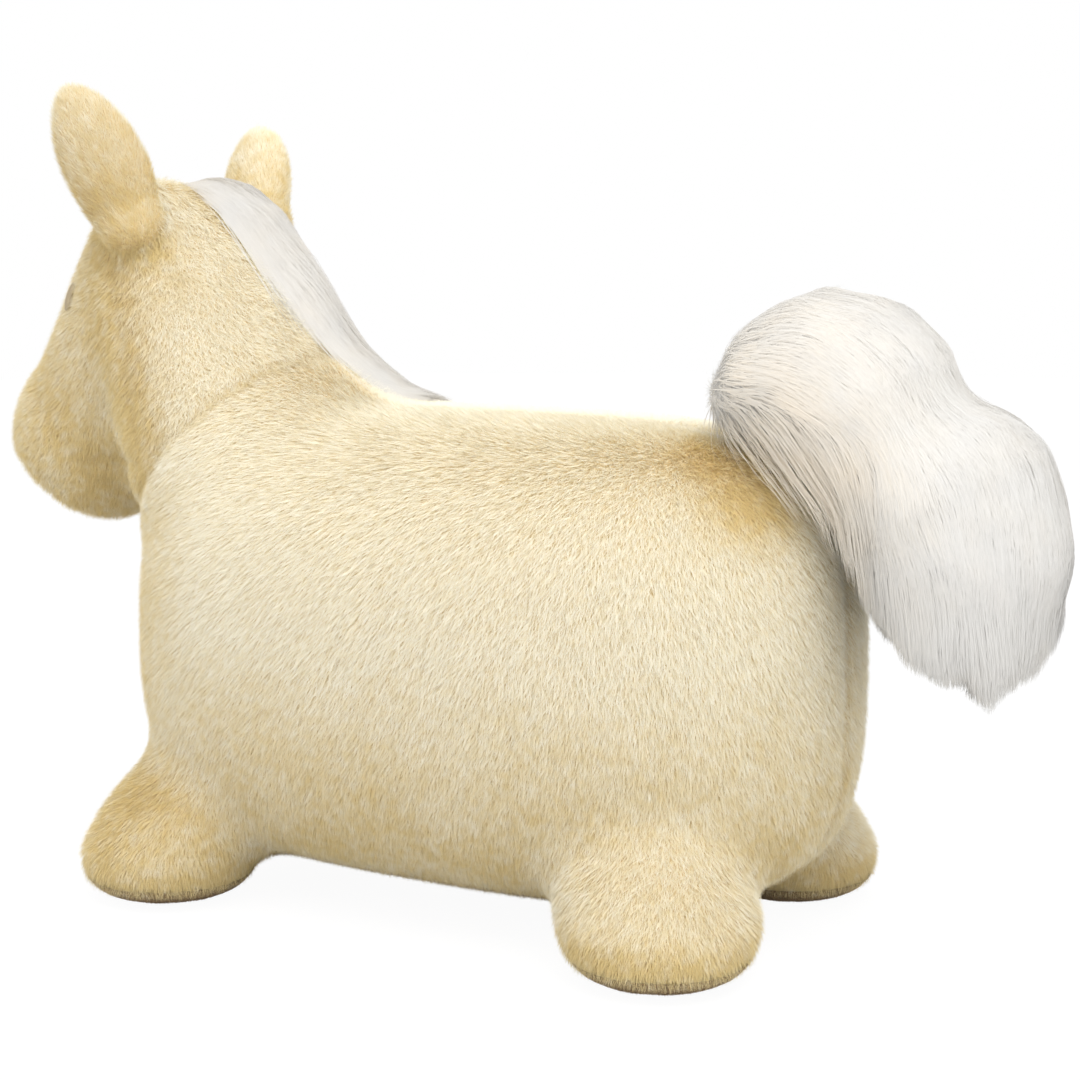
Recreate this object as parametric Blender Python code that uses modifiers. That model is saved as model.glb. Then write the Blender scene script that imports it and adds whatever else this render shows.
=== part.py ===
"""Plush pony hopper: an air-filled bladder inside a zipped faux-fur cover.

Metres, +Z up. The muzzle points to -Y and the animal's left side is +X. The
origin is on the floor, under the middle of the whole toy.
"""

import math

import bmesh
import bpy
from mathutils import Matrix, Vector

# Driving dimensions of the cover, measured over the tips of its pile
COVER_THICKNESS = 0.010  # backing and pile together
SEAM_GAP = 0.0008  # between two sewn panels
FIT_GAP = 0.0006  # between a panel and the limb that passes through it
BACK_HEIGHT = 0.287
BELLY_HEIGHT = 0.0105

# The barrel of the body. Each fullness is the power of a rounded oval: 2 is an ellipse
BARREL_FRONT = -0.199
BARREL_REAR = 0.236
BARREL_MIDDLE = 0.142
BARREL_HALF_WIDTH = 0.136
BACK_FULLNESS = 4.2
BELLY_FULLNESS = 3.8
CHEST_FULLNESS = 3.0
RUMP_FULLNESS = 2.35
SECTION_FULLNESS = 2.6
BARREL_RINGS = 28
RING_POINTS = 32

# Neck and head: centre y, centre z, lean from upright in degrees, half depth, half width
NECK_SECTIONS = (
    (-0.070, 0.170, 10, 0.115, 0.112),
    (-0.122, 0.229, 28, 0.093, 0.106),
    (-0.160, 0.279, 32, 0.072, 0.094),
    (-0.185, 0.329, 31, 0.064, 0.083),
    (-0.203, 0.369, 26, 0.059, 0.073),
    (-0.212, 0.401, 22, 0.045, 0.052),
)
HEAD_SECTIONS = (
    (-0.186, 0.384, 130, 0.045, 0.050),
    (-0.201, 0.355, 132, 0.066, 0.070),
    (-0.226, 0.314, 136, 0.063, 0.068),
    (-0.253, 0.277, 138, 0.057, 0.061),
    (-0.275, 0.248, 140, 0.060, 0.061),
    (-0.294, 0.224, 140, 0.047, 0.048),
)
BODY_VOXEL = 0.008
BODY_SMOOTHING = 14
BODY_FACES = 1700

# Seams of the body cover: a point on each seam plane and the side that it faces
SEAM_COLLAR = (Vector((0, -0.205, 0.2055)), Vector((0, -1, 1)).normalized())
SEAM_CHEEK = (Vector((0, -0.172, 0.260)), Vector((0, -1, -0.307)).normalized())
SEAM_MUZZLE = (Vector((0, -0.246, 0.245)), Vector((0, -0.80, -0.60)).normalized())
SEAM_JAW = (Vector((0, -0.220, 0.246)), Vector((0, 0.15, -1)).normalized())
SEAM_BELLY = (Vector((0, 0, 0.030)), Vector((0, 0, -1)))
SEAM_MIDDLE = (Vector((0, 0, 0)), Vector((1, 0, 0)))
FOREHEAD_HALF_WIDTH = 0.020

# Stub legs: where the foot stands, then height, radius and how far the centre has
# moved in towards the body, in shares of the lean
REAR_FOOT = (0.087, 0.163)
FRONT_FOOT = (0.090, -0.152)
LEG_LEAN_IN = 0.12
LEG_LEAN_ALONG = 0.10
LEG_POINTS = 20
LEG_SECTIONS = (
    (0.000, 0.0390, 0.00),
    (0.004, 0.0455, 0.00),
    (0.014, 0.0540, 0.00),
    (0.032, 0.0588, 0.03),
    (0.055, 0.0570, 0.11),
    (0.080, 0.0515, 0.22),
    (0.103, 0.0440, 0.34),
    (0.122, 0.0330, 0.38),
    (0.133, 0.0160, 0.42),
)
SOLE_THICKNESS = 0.011

# Ears: where each turns, where its tip is, and its sections as height up the ear,
# half width and half thickness
EAR_PIVOT = {"left": Vector((0.0595, -0.1905, 0.385)), "right": Vector((-0.0595, -0.1905, 0.385))}
EAR_TIP = {"left": Vector((0.092, -0.213, 0.466)), "right": Vector((-0.103, -0.220, 0.446))}
EAR_FACING = {"left": Vector((0.86, 0.51, 0)), "right": Vector((-0.98, 0.20, 0))}
EAR_ROOT_RADIUS = 0.0280
EAR_SOCKET_RADIUS = 0.0295
EAR_PLUSH = 0.007
EAR_FACES = 220
EAR_SECTIONS = (
    (0.000, 0.0235, 0.0200),
    (0.014, 0.0262, 0.0200),
    (0.030, 0.0280, 0.0195),
    (0.045, 0.0270, 0.0180),
    (0.058, 0.0236, 0.0155),
    (0.069, 0.0178, 0.0120),
    (0.077, 0.0104, 0.0078),
    (0.080, 0.0042, 0.0035),
)
EAR_POINTS = 20

# Mane: a long-pile strip over the crest that falls to the right side
MANE_THICKNESS = 0.0055
MANE_EAR_CLEARANCE = 0.030
MANE_LEFT = (Vector((0.019, -0.150, 0.39)), Vector((1, 0.62, 0)).normalized())
MANE_RIGHT = (Vector((-0.044, -0.180, 0)), Vector((-1, -0.40, 0)).normalized())
MANE_FRONT = (Vector((0, -0.182, 0.40)), Vector((0, -1, 0.1)).normalized())
MANE_REAR = (Vector((0, -0.052, 0.30)), Vector((0, 1, 0)))
MANE_LOW = (Vector((0, -0.120, 0.292)), Vector((0, -0.64, -0.77)).normalized())

# Tail: a stuffed core and two lobes of long pile, as sections like the neck's
TAIL_PIVOT = Vector((0, 0.150, 0.2885))
TAIL_RAISED_LOBE = (
    (0.163, 0.284, -45, 0.020, 0.030),
    (0.185, 0.299, -62, 0.037, 0.046),
    (0.214, 0.304, -85, 0.051, 0.054),
    (0.240, 0.297, -103, 0.052, 0.056),
    (0.262, 0.284, -118, 0.042, 0.048),
    (0.278, 0.270, -128, 0.022, 0.028),
)
TAIL_HANGING_LOBE = (
    (0.238, 0.285, -100, 0.030, 0.040),
    (0.262, 0.272, -120, 0.046, 0.050),
    (0.284, 0.248, -145, 0.056, 0.056),
    (0.292, 0.216, -168, 0.056, 0.055),
    (0.290, 0.182, -180, 0.049, 0.047),
    (0.288, 0.149, -184, 0.026, 0.030),
)
TAIL_VOXEL = 0.007
TAIL_FACES = 1000
TAIL_CORE_PATH = ((0.160, 0.262), (0.176, 0.288), (0.200, 0.302), (0.232, 0.299), (0.258, 0.278))
TAIL_CORE_RADIUS = 0.013
TAIL_CLEARANCE = 0.003

# Bladder: how far its skin lies inside the pile, and its wall
BLADDER_INSET = 0.0135
BLADDER_LEG_INSET = 0.0165
BLADDER_WALL = 0.0018
BLADDER_FACES = 900

# Inflation valve under the belly, inside the zip: radii and heights
VALVE_PLACE = Vector((0, 0.060, 0))
VALVE_WELL_RADIUS = 0.031
VALVE_DISH_TOP = 0.0400
PORT_RADIUS = 0.0305
VALVE_PATCH = (
    (0.0092, 0.0420),
    (0.0215, 0.0420),
    (0.0301, 0.0275),
    (0.0301, 0.0246),
    (0.0280, 0.0246),
    (0.0200, 0.0400),
    (0.0092, 0.0400),
)
VALVE_BODY = (
    (0.0088, 0.0540),
    (0.0088, 0.0397),
    (0.0140, 0.0397),
    (0.0140, 0.0385),
    (0.0062, 0.0385),
    (0.0062, 0.0540),
)
VALVE_PLUG = ((0.0, 0.0500), (0.0058, 0.0500), (0.0058, 0.0382), (0.0105, 0.0382), (0.0105, 0.0362), (0.0, 0.0362))

# Zip: a straight closure along the middle of the belly
ZIP_HALF_LENGTH = 0.126
ZIP_HALF_WIDTH = 0.011
ZIP_LEVEL = 0.0185
TAPE_EDGES = (0.0036, 0.0107)
TAPE_THICKNESS = 0.0008
TAPE_END_GAP = 0.0005
TEETH_THICKNESS = 0.0030
TEETH_BEAD = (0.0022, 0.0033)
TOOTH_TIP = 0.00075
TOOTH_PITCH = 0.004
TOOTH_LENGTH = 0.0021
TEETH = 58
TEETH_START = -0.116
STOP_HALF_WIDTH = 0.0033
STOP_PLACES = {"front": -0.1190, "rear": 0.1232}
STOP_LENGTH = 0.0028

# Slider: half sizes from the zip's level, and the pull that hangs from its lug
SLIDER_PLACE = 0.1165
SLIDER_HALF_LENGTH = 0.0045
SLIDER_HALF_WIDTH = 0.0052
SLIDER_PLATE = (0.0021, 0.0035)
SLIDER_FLANGE = (0.0009, 0.0040)
SLIDER_WEB = 0.0005
LUG_HALF_WIDTH = 0.0015
LUG_HALF_LENGTH = 0.0011
PULL_AXIS = 0.0132
PIN_RADIUS = 0.0005
PIN_HALF_LENGTH = 0.0037
PULL_LENGTH = 0.0125
PULL_HALF_WIDTH = 0.0040
PULL_THICKNESS = 0.0012
PULL_EYE_RADIUS = 0.0014
PULL_EYE_HOLE = 0.0008
PULL_FORK = 0.0019

# Embroidered eyes: the middle of the left one, the way it faces, and its half sizes
EYE_PLACE = Vector((0.058, -0.2455, 0.347))
EYE_FACING = Vector((0.62, -0.72, 0.30)).normalized()
EYE_HALF_HEIGHT = 0.0095
EYE_HALF_WIDTH = 0.0070
EYE_RELIEF = (0.0005, 0.0020)

# From the modelling origin, under the middle of the body, to under the middle of the box
TO_ORIGIN = Vector((0, -0.008, 0))


def clear_scene():
    for obj in list(bpy.data.objects):
        bpy.data.objects.remove(obj, do_unlink=True)


def collection(name):
    made = bpy.data.collections.new(name)
    bpy.context.scene.collection.children.link(made)
    return made


def material(name, colour, roughness, metallic=0.0):
    made = bpy.data.materials.new(name)
    made.use_nodes = True
    shader = made.node_tree.nodes["Principled BSDF"]
    shader.inputs["Base Color"].default_value = (*colour, 1.0)
    shader.inputs["Roughness"].default_value = roughness
    shader.inputs["Metallic"].default_value = metallic
    return made


def add_mesh(name, bm, where, made_of=None):
    """A new object from a bmesh."""
    mesh = bpy.data.meshes.new(name)
    bm.to_mesh(mesh)
    bm.free()
    return add_object(name, mesh, where, made_of)


def add_object(name, mesh, where, made_of=None):
    """A new object that shows a mesh. Without a material it is a guide, kept out of sight."""
    obj = bpy.data.objects.new(name, mesh)
    where.objects.link(obj)
    if made_of is None:
        obj.hide_render = True
        obj.display_type = "WIRE"
    else:
        mesh.materials.clear()
        mesh.materials.append(made_of)
        mesh.shade_smooth()
        mesh.set_sharp_from_angle(angle=math.radians(50))
    return obj


def evaluated_mesh(obj):
    """What the modifiers make of an object, as a mesh of its own."""
    bpy.context.view_layer.update()
    graph = bpy.context.evaluated_depsgraph_get()
    return bpy.data.meshes.new_from_object(obj.evaluated_get(graph))


def settle(obj):
    """Puts what the modifiers make in place of the object's own mesh."""
    mesh = evaluated_mesh(obj)
    obj.modifiers.clear()
    obj.data = mesh
    return obj


def cut(obj, other, operation="DIFFERENCE", solver="EXACT"):
    """A Boolean. EXACT drops whole panels of the thin shells, so those ask for MANIFOLD."""
    change = obj.modifiers.new(operation.lower(), "BOOLEAN")
    change.operation = operation
    change.solver = solver
    change.object = other


def grown(name, source, distance, where):
    """A copy of a closed skin, moved out along its normals. A negative distance moves it in."""
    obj = add_object(name, source.data.copy(), where)
    move = obj.modifiers.new("offset", "DISPLACE")
    move.direction = "NORMAL"
    move.mid_level = 0.0
    move.strength = distance
    return settle(obj)


def hollow(name, source, thickness, where):
    """A closed skin with a wall that grows inwards."""
    obj = add_object(name, source.data.copy(), where)
    wall = obj.modifiers.new("wall", "SOLIDIFY")
    wall.thickness = thickness
    wall.offset = -1
    return settle(obj)


def largest_body(mesh):
    """Leaves only the largest connected body of a mesh, so that no scrap is left by a cut."""
    bm = bmesh.new()
    bm.from_mesh(mesh)
    bodies = []
    left = set(bm.faces)
    while left:
        todo = [left.pop()]
        body = list(todo)
        while todo:
            for edge in todo.pop().edges:
                for face in edge.link_faces:
                    if face in left:
                        left.remove(face)
                        todo.append(face)
                        body.append(face)
        bodies.append(body)
    bodies.sort(key=lambda body: sum(face.calc_area() for face in body))
    scraps = [face for body in bodies[:-1] for face in body]
    bmesh.ops.delete(bm, geom=scraps, context="FACES")
    bm.to_mesh(mesh)
    bm.free()


def region(name, planes, where, reach=0.6):
    """A block with one side cut off by each plane. What stays is behind the planes."""
    bm = bmesh.new()
    bmesh.ops.create_cube(bm, size=2 * reach)
    for point, outward in planes:
        everything = bm.verts[:] + bm.edges[:] + bm.faces[:]
        cut_away = bmesh.ops.bisect_plane(
            bm, geom=everything, plane_co=point, plane_no=outward, clear_outer=True
        )
        rim = [item for item in cut_away["geom_cut"] if isinstance(item, bmesh.types.BMEdge)]
        bmesh.ops.edgeloop_fill(bm, edges=rim)
    bmesh.ops.recalc_face_normals(bm, faces=bm.faces)
    return add_mesh(name, bm, where)


def behind(seam, gap=SEAM_GAP):
    """The plane that keeps the side a seam faces away from, half a gap short of it."""
    point, facing = seam
    return point - facing * gap / 2, facing


def before(seam, gap=SEAM_GAP):
    """The plane that keeps the side a seam faces, half a gap short of it."""
    point, facing = seam
    return point + facing * gap / 2, -facing


def signed_power(value, power):
    return math.copysign(abs(value) ** power, value)


def rounded(share, fullness):
    """How far a rounded oval still reaches at a share of its length from the middle."""
    return max(0.0, 1 - abs(share) ** fullness) ** (1 / fullness)


def oval(half_width, half_depth, points=RING_POINTS, fullness=2.0):
    """The points of a rounded oval in the plane z = 0."""
    power = 2 / fullness
    for step in range(points):
        angle = 2 * math.pi * step / points
        across = signed_power(math.cos(angle), power)
        along = signed_power(math.sin(angle), power)
        yield Vector((half_width * across, half_depth * along, 0))


def skin(rings):
    """A closed skin through rings of points, with a flat end on the first and the last."""
    bm = bmesh.new()
    loops = [[bm.verts.new(point) for point in ring] for ring in rings]
    for lower, upper in zip(loops, loops[1:]):
        for step in range(len(lower)):
            after = (step + 1) % len(lower)
            bm.faces.new((lower[step], lower[after], upper[after], upper[step]))
    bm.faces.new(loops[0])
    bm.faces.new(loops[-1])
    bmesh.ops.recalc_face_normals(bm, faces=bm.faces)
    return bm


def barrel():
    """The body: full at the back and the rump, tucked in under the belly."""
    half_length = (BARREL_REAR - BARREL_FRONT) / 2
    centre = (BARREL_REAR + BARREL_FRONT) / 2
    upright = Matrix.Rotation(math.pi / 2, 4, "X")
    rings = []
    for step in range(BARREL_RINGS + 1):
        share = -0.999 * math.cos(math.pi * step / BARREL_RINGS)
        side_fullness = CHEST_FULLNESS if share < 0 else RUMP_FULLNESS
        top = BARREL_MIDDLE + (BACK_HEIGHT - BARREL_MIDDLE) * rounded(share, BACK_FULLNESS)
        low = BARREL_MIDDLE + (BELLY_HEIGHT - BARREL_MIDDLE) * rounded(share, BELLY_FULLNESS)
        width = BARREL_HALF_WIDTH * rounded(share, side_fullness)
        middle = Vector((0, centre + share * half_length, (top + low) / 2))
        ring = oval(width, (top - low) / 2, fullness=SECTION_FULLNESS)
        rings.append([middle + upright @ point for point in ring])
    return skin(rings)


def loft(sections):
    """A closed skin through ovals that stand square to a path in the plane x = 0."""
    rings = []
    for y, z, lean, half_depth, half_width in sections:
        turn = Matrix.Rotation(math.radians(lean), 4, "X")
        ring = oval(half_width, half_depth)
        rings.append([Vector((0, y, z)) + turn @ point for point in ring])
    return skin(rings)


def leg(foot, side, inset=0.0):
    """A stub leg: a broad flat foot that leans in and narrows up into the body."""
    x, y = foot
    rings = []
    for height, radius, inward in LEG_SECTIONS:
        along = y - math.copysign(LEG_LEAN_ALONG * inward, y)
        centre = Vector((side * (x - LEG_LEAN_IN * inward), along, height))
        centre.z = max(height, inset + 0.2 * height)
        size = max(0.004, radius - inset)
        rings.append([centre + point for point in oval(size, size, LEG_POINTS)])
    return skin(rings)


def joined(name, shapes, where):
    """Several closed skins in one mesh, for a remesh to fuse."""
    bm = bmesh.new()
    for shape in shapes:
        mesh = bpy.data.meshes.new("part_of_" + name)
        shape.to_mesh(mesh)
        shape.free()
        bm.from_mesh(mesh)
        bpy.data.meshes.remove(mesh)
    return add_mesh(name, bm, where)


def fuse(obj, voxel):
    remesh = obj.modifiers.new("fuse", "REMESH")
    remesh.mode = "VOXEL"
    remesh.voxel_size = voxel
    remesh.adaptivity = 0


def plump(obj, voxel, rounds, faces):
    """Fuses overlapping skins, lets the creases swell, and thins the facets."""
    fuse(obj, voxel)
    swell = obj.modifiers.new("swell", "SMOOTH")
    swell.factor = 0.5
    swell.iterations = rounds
    settle(obj)
    obj.data.calc_loop_triangles()
    thin = obj.modifiers.new("thin", "DECIMATE")
    thin.ratio = min(1.0, faces / len(obj.data.loop_triangles))
    return settle(obj)


def panel(name, shell, planes, cutters, guides, parts, made_of):
    """One piece of a shell: what lies behind some planes, less what passes through it."""
    obj = add_object(name, shell.data.copy(), guides)
    if planes:
        cut(obj, region(name + "_region", planes, guides), "INTERSECT", "MANIFOLD")
    for cutter in cutters:
        cut(obj, cutter, "DIFFERENCE", "MANIFOLD")
    mesh = evaluated_mesh(obj)
    bpy.data.objects.remove(obj)
    largest_body(mesh)
    mesh.name = name
    return add_object(name, mesh, parts, made_of)


def turned(name, profile, place, where, made_of, steps=32):
    """A turned piece: a closed profile of radius and height, run down its outer side first."""
    bm = bmesh.new()
    verts = [bm.verts.new((radius, 0, height)) for radius, height in profile]
    for first, second in zip(verts, verts[1:] + verts[:1]):
        bm.edges.new((first, second))
    obj = add_mesh(name, bm, where, made_of)
    obj.location = place
    screw = obj.modifiers.new("turn", "SCREW")
    screw.axis = "Z"
    screw.steps = steps
    screw.render_steps = steps
    screw.use_merge_vertices = True
    screw.merge_threshold = 0.00001
    return obj


def box(bm, low, high):
    """Adds a block between two corners to a bmesh."""
    low, high = Vector(low), Vector(high)
    size = high - low
    at = Matrix.Translation((low + high) / 2) @ Matrix.Diagonal((*size, 1))
    bmesh.ops.create_cube(bm, size=1, matrix=at)


def block(name, low, high, where, made_of=None):
    bm = bmesh.new()
    box(bm, low, high)
    return add_mesh(name, bm, where, made_of)


def ball(name, centre, radius, where, segments=32):
    bm = bmesh.new()
    bmesh.ops.create_uvsphere(bm, u_segments=segments, v_segments=segments // 2, radius=radius)
    bmesh.ops.translate(bm, verts=bm.verts, vec=centre)
    return add_mesh(name, bm, where)


def make_body_cover(shell, legs, sockets, guides, parts, plush, short_plush):
    """The body, neck and head panels, sewn edge to edge along their seams."""
    middle = {"left": [before(SEAM_MIDDLE)], "right": [behind(SEAM_MIDDLE)]}
    edge = Vector((FOREHEAD_HALF_WIDTH, 0, 0))
    strip = {"left": (edge, Vector((1, 0, 0))), "right": (-edge, Vector((-1, 0, 0)))}
    zip_slot = block(
        "zip_slot",
        (-ZIP_HALF_WIDTH, -ZIP_HALF_LENGTH, 0),
        (ZIP_HALF_WIDTH, ZIP_HALF_LENGTH, 0.05),
        guides,
    )
    for side in ("left", "right"):
        near = [leg for name, leg in legs.items() if side in name]
        flank = middle[side] + [behind(SEAM_COLLAR), behind(SEAM_BELLY)]
        panel("flank_" + side, shell, flank, near, guides, parts, plush)
        belly = middle[side] + [before(SEAM_BELLY)]
        panel("belly_" + side, shell, belly, near + [zip_slot], guides, parts, short_plush)
        neck = middle[side] + [before(SEAM_COLLAR), behind(SEAM_CHEEK)]
        panel("neck_" + side, shell, neck, [sockets[side]], guides, parts, plush)
        cheek = [before(SEAM_COLLAR), before(SEAM_CHEEK), behind(SEAM_MUZZLE), behind(SEAM_JAW)]
        cheek.append(before(strip[side]))
        panel("cheek_" + side, shell, cheek, [sockets[side]], guides, parts, plush)
    forehead = [before(SEAM_COLLAR), before(SEAM_CHEEK), behind(SEAM_MUZZLE), behind(SEAM_JAW)]
    forehead += [behind(strip["left"]), behind(strip["right"])]
    panel("forehead", shell, forehead, list(sockets.values()), guides, parts, plush)
    throat = [before(SEAM_COLLAR), before(SEAM_CHEEK), behind(SEAM_MUZZLE), before(SEAM_JAW)]
    panel("throat", shell, throat, [], guides, parts, plush)
    muzzle = [before(SEAM_COLLAR), before(SEAM_MUZZLE)]
    panel("muzzle", shell, muzzle, [], guides, parts, plush)


def make_legs(body_outside, guides, parts, plush, short_plush):
    """Four leg covers, open to the body and to their soles, and the sole pads that it stands on."""
    clear_of_body = grown("body_clearance", body_outside, FIT_GAP, guides)
    above = (Vector((0, 0, SOLE_THICKNESS + SEAM_GAP / 2)), Vector((0, 0, -1)))
    below = (Vector((0, 0, SOLE_THICKNESS - SEAM_GAP / 2)), Vector((0, 0, 1)))
    passages = {}
    for end, foot in (("front", FRONT_FOOT), ("rear", REAR_FOOT)):
        for side, sign in (("left", 1), ("right", -1)):
            name = f"{end}_{side}"
            outside = add_mesh(f"leg_{name}_form", leg(foot, sign), guides)
            wall = hollow(f"leg_{name}_wall", outside, COVER_THICKNESS, guides)
            panel("leg_" + name, wall, [above], [clear_of_body], guides, parts, plush)
            panel("sole_" + name, outside, [below], [], guides, parts, short_plush)
            passages[name] = grown(f"leg_{name}_passage", outside, FIT_GAP, guides)
    return passages


def ear_axes(side):
    """The ear's own frame: up to its tip, with its thin way towards where it faces."""
    upward = (EAR_TIP[side] - EAR_PIVOT[side]).normalized()
    across = upward.cross(EAR_FACING[side]).normalized()
    facing = across.cross(upward).normalized()
    turn = Matrix((across, facing, upward)).transposed().to_4x4()
    return Matrix.Translation(EAR_PIVOT[side]) @ turn


def ear_form(side, name, inset, guides):
    """An ear as one closed form: a round root in the head's socket and a leaf above it."""
    rings = []
    stretch = (EAR_TIP[side] - EAR_PIVOT[side]).length / EAR_SECTIONS[-1][0]
    for height, half_width, half_depth in EAR_SECTIONS:
        wide = max(0.002, half_width - inset)
        deep = max(0.002, half_depth - inset)
        level = Vector((0, 0, height * stretch - inset * height / EAR_SECTIONS[-1][0]))
        rings.append([level + point for point in oval(wide, deep, EAR_POINTS)])
    leaf = skin(rings)
    root = bmesh.new()
    bmesh.ops.create_uvsphere(root, u_segments=20, v_segments=12, radius=EAR_ROOT_RADIUS - inset)
    for shape in (leaf, root):
        bmesh.ops.transform(shape, matrix=ear_axes(side), verts=shape.verts)
    form = joined(name, [leaf, root], guides)
    return plump(form, 0.0035, 5, EAR_FACES)


def make_ear(side, guides, parts, plush, stuffing):
    """A stuffed ear: a front and a back plush panel round a core of stuffing."""
    outside = ear_form(side, f"ear_{side}_form", 0.0, guides)
    wall = hollow(f"ear_{side}_wall", outside, EAR_PLUSH, guides)
    frame = ear_axes(side)
    facing = frame.to_3x3() @ Vector((0, 1, 0))
    seam = (frame.translation, facing)
    panel(f"ear_outer_{side}", wall, [before(seam)], [], guides, parts, plush)
    panel(f"ear_inner_{side}", wall, [behind(seam)], [], guides, parts, plush)
    core = ear_form(side, f"ear_{side}_core_form", EAR_PLUSH + 0.0015, guides)
    add_object(f"ear_stuffing_{side}", core.data.copy(), parts, stuffing)


def make_mane(body_outside, guides, parts, long_pile):
    outer = grown("mane_form", body_outside, MANE_THICKNESS, guides)
    under = grown("mane_bed", body_outside, FIT_GAP, guides)
    planes = [MANE_LEFT, MANE_RIGHT, MANE_FRONT, MANE_REAR, MANE_LOW]
    cutters = [under]
    for side, pivot in EAR_PIVOT.items():
        cutters.append(ball(f"mane_{side}_parting", pivot, MANE_EAR_CLEARANCE, guides))
    panel("mane", outer, planes, cutters, guides, parts, long_pile)


def make_tail(body_outside, guides, parts, long_pile, stuffing):
    """The tail: a bent core of stuffing in a sleeve of long pile, clear of the rump."""
    points = [Vector((0, y, z)) for y, z in TAIL_CORE_PATH]
    route = bpy.data.curves.new("tail_core_route", "CURVE")
    route.dimensions = "3D"
    route.bevel_depth = TAIL_CORE_RADIUS
    route.bevel_resolution = 2
    route.use_fill_caps = True
    line = route.splines.new("POLY")
    line.points.add(len(points) - 1)
    for place, point in zip(line.points, points):
        place.co = (*point, 1)
    tube = bpy.data.objects.new("tail_core_route", route)
    guides.objects.link(tube)
    mesh = evaluated_mesh(tube)
    bpy.data.objects.remove(tube)
    bm = bmesh.new()
    bm.from_mesh(mesh)
    bmesh.ops.remove_doubles(bm, verts=bm.verts, dist=0.00001)
    bmesh.ops.recalc_face_normals(bm, faces=bm.faces)
    core = add_mesh("tail_core", bm, parts, stuffing)
    bore = grown("tail_core_bore", core, FIT_GAP, guides)
    pile = joined("tail_form", [loft(TAIL_RAISED_LOBE), loft(TAIL_HANGING_LOBE)], guides)
    plump(pile, TAIL_VOXEL, 6, TAIL_FACES)
    rump = grown("tail_rest", body_outside, TAIL_CLEARANCE, guides)
    panel("tail_pile", pile, [], [rump, bore], guides, parts, long_pile)
    cut(core, rump)
    settle(core)


def make_bladder(body_outside, guides, parts, vinyl):
    """The air bladder: one thin skin through the body, the legs, the neck and the head."""
    inner = grown("bladder_body", body_outside, -BLADDER_INSET, guides)
    shape = bmesh.new()
    shape.from_mesh(inner.data)
    shapes = [shape]
    for foot in (FRONT_FOOT, REAR_FOOT):
        shapes += [leg(foot, 1, BLADDER_LEG_INSET), leg(foot, -1, BLADDER_LEG_INSET)]
    form = joined("bladder_form", shapes, guides)
    fuse(form, 0.006)
    settle(form)
    dish = bmesh.new()
    bmesh.ops.create_cone(
        dish,
        cap_ends=True,
        segments=32,
        radius1=VALVE_WELL_RADIUS,
        radius2=VALVE_WELL_RADIUS,
        depth=2 * VALVE_DISH_TOP,
    )
    bmesh.ops.translate(dish, verts=dish.verts, vec=VALVE_PLACE)
    cut(form, add_mesh("valve_well", dish, guides))
    for side in ("left", "right"):
        room = ball(f"ear_{side}_room", EAR_PIVOT[side], EAR_ROOT_RADIUS + 0.007, guides)
        cut(form, room)
    settle(form)
    plump(form, 0.006, 4, BLADDER_FACES)
    skin_wall = hollow("bladder_wall", form, BLADDER_WALL, guides)
    port = bmesh.new()
    bmesh.ops.create_cone(
        port, cap_ends=True, segments=32, radius1=PORT_RADIUS, radius2=PORT_RADIUS, depth=0.12
    )
    bmesh.ops.translate(port, verts=port.verts, vec=VALVE_PLACE)
    cutter = add_mesh("valve_port", port, guides)
    panel("bladder", skin_wall, [], [cutter], guides, parts, vinyl)


def make_valve(parts, vinyl):
    """A dished patch welded in the port, the valve's body through it, and the plug."""
    turned("valve_patch", VALVE_PATCH, VALVE_PLACE, parts, vinyl)
    turned("valve_body", VALVE_BODY, VALVE_PLACE, parts, vinyl, 24)
    turned("valve_plug", VALVE_PLUG, VALVE_PLACE, parts, vinyl, 24)


def comb(side, shift):
    """One row of zip teeth: a bead with square teeth that point to the middle of the zip."""
    inner, outer = TEETH_BEAD
    ending = TEETH_START + TEETH * TOOTH_PITCH
    outline = [(outer, TEETH_START), (outer, ending), (inner, ending)]
    for tooth in reversed(range(TEETH)):
        low = TEETH_START + tooth * TOOTH_PITCH + shift
        high = low + TOOTH_LENGTH
        outline += [(inner, high), (TOOTH_TIP, high), (TOOTH_TIP, low), (inner, low)]
    outline.append((inner, TEETH_START))
    return [Vector((side * x, y, ZIP_LEVEL - TEETH_THICKNESS / 2)) for x, y in outline]


def plate(name, outline, thickness, where, made_of):
    """A flat plate: an outline run up through a thickness."""
    bm = bmesh.new()
    lower = bm.faces.new([bm.verts.new(point) for point in outline])
    raised = bmesh.ops.extrude_face_region(bm, geom=[lower])
    upper = [item for item in raised["geom"] if isinstance(item, bmesh.types.BMVert)]
    bmesh.ops.translate(bm, verts=upper, vec=(0, 0, thickness))
    bmesh.ops.recalc_face_normals(bm, faces=bm.faces)
    return add_mesh(name, bm, where, made_of)


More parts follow.
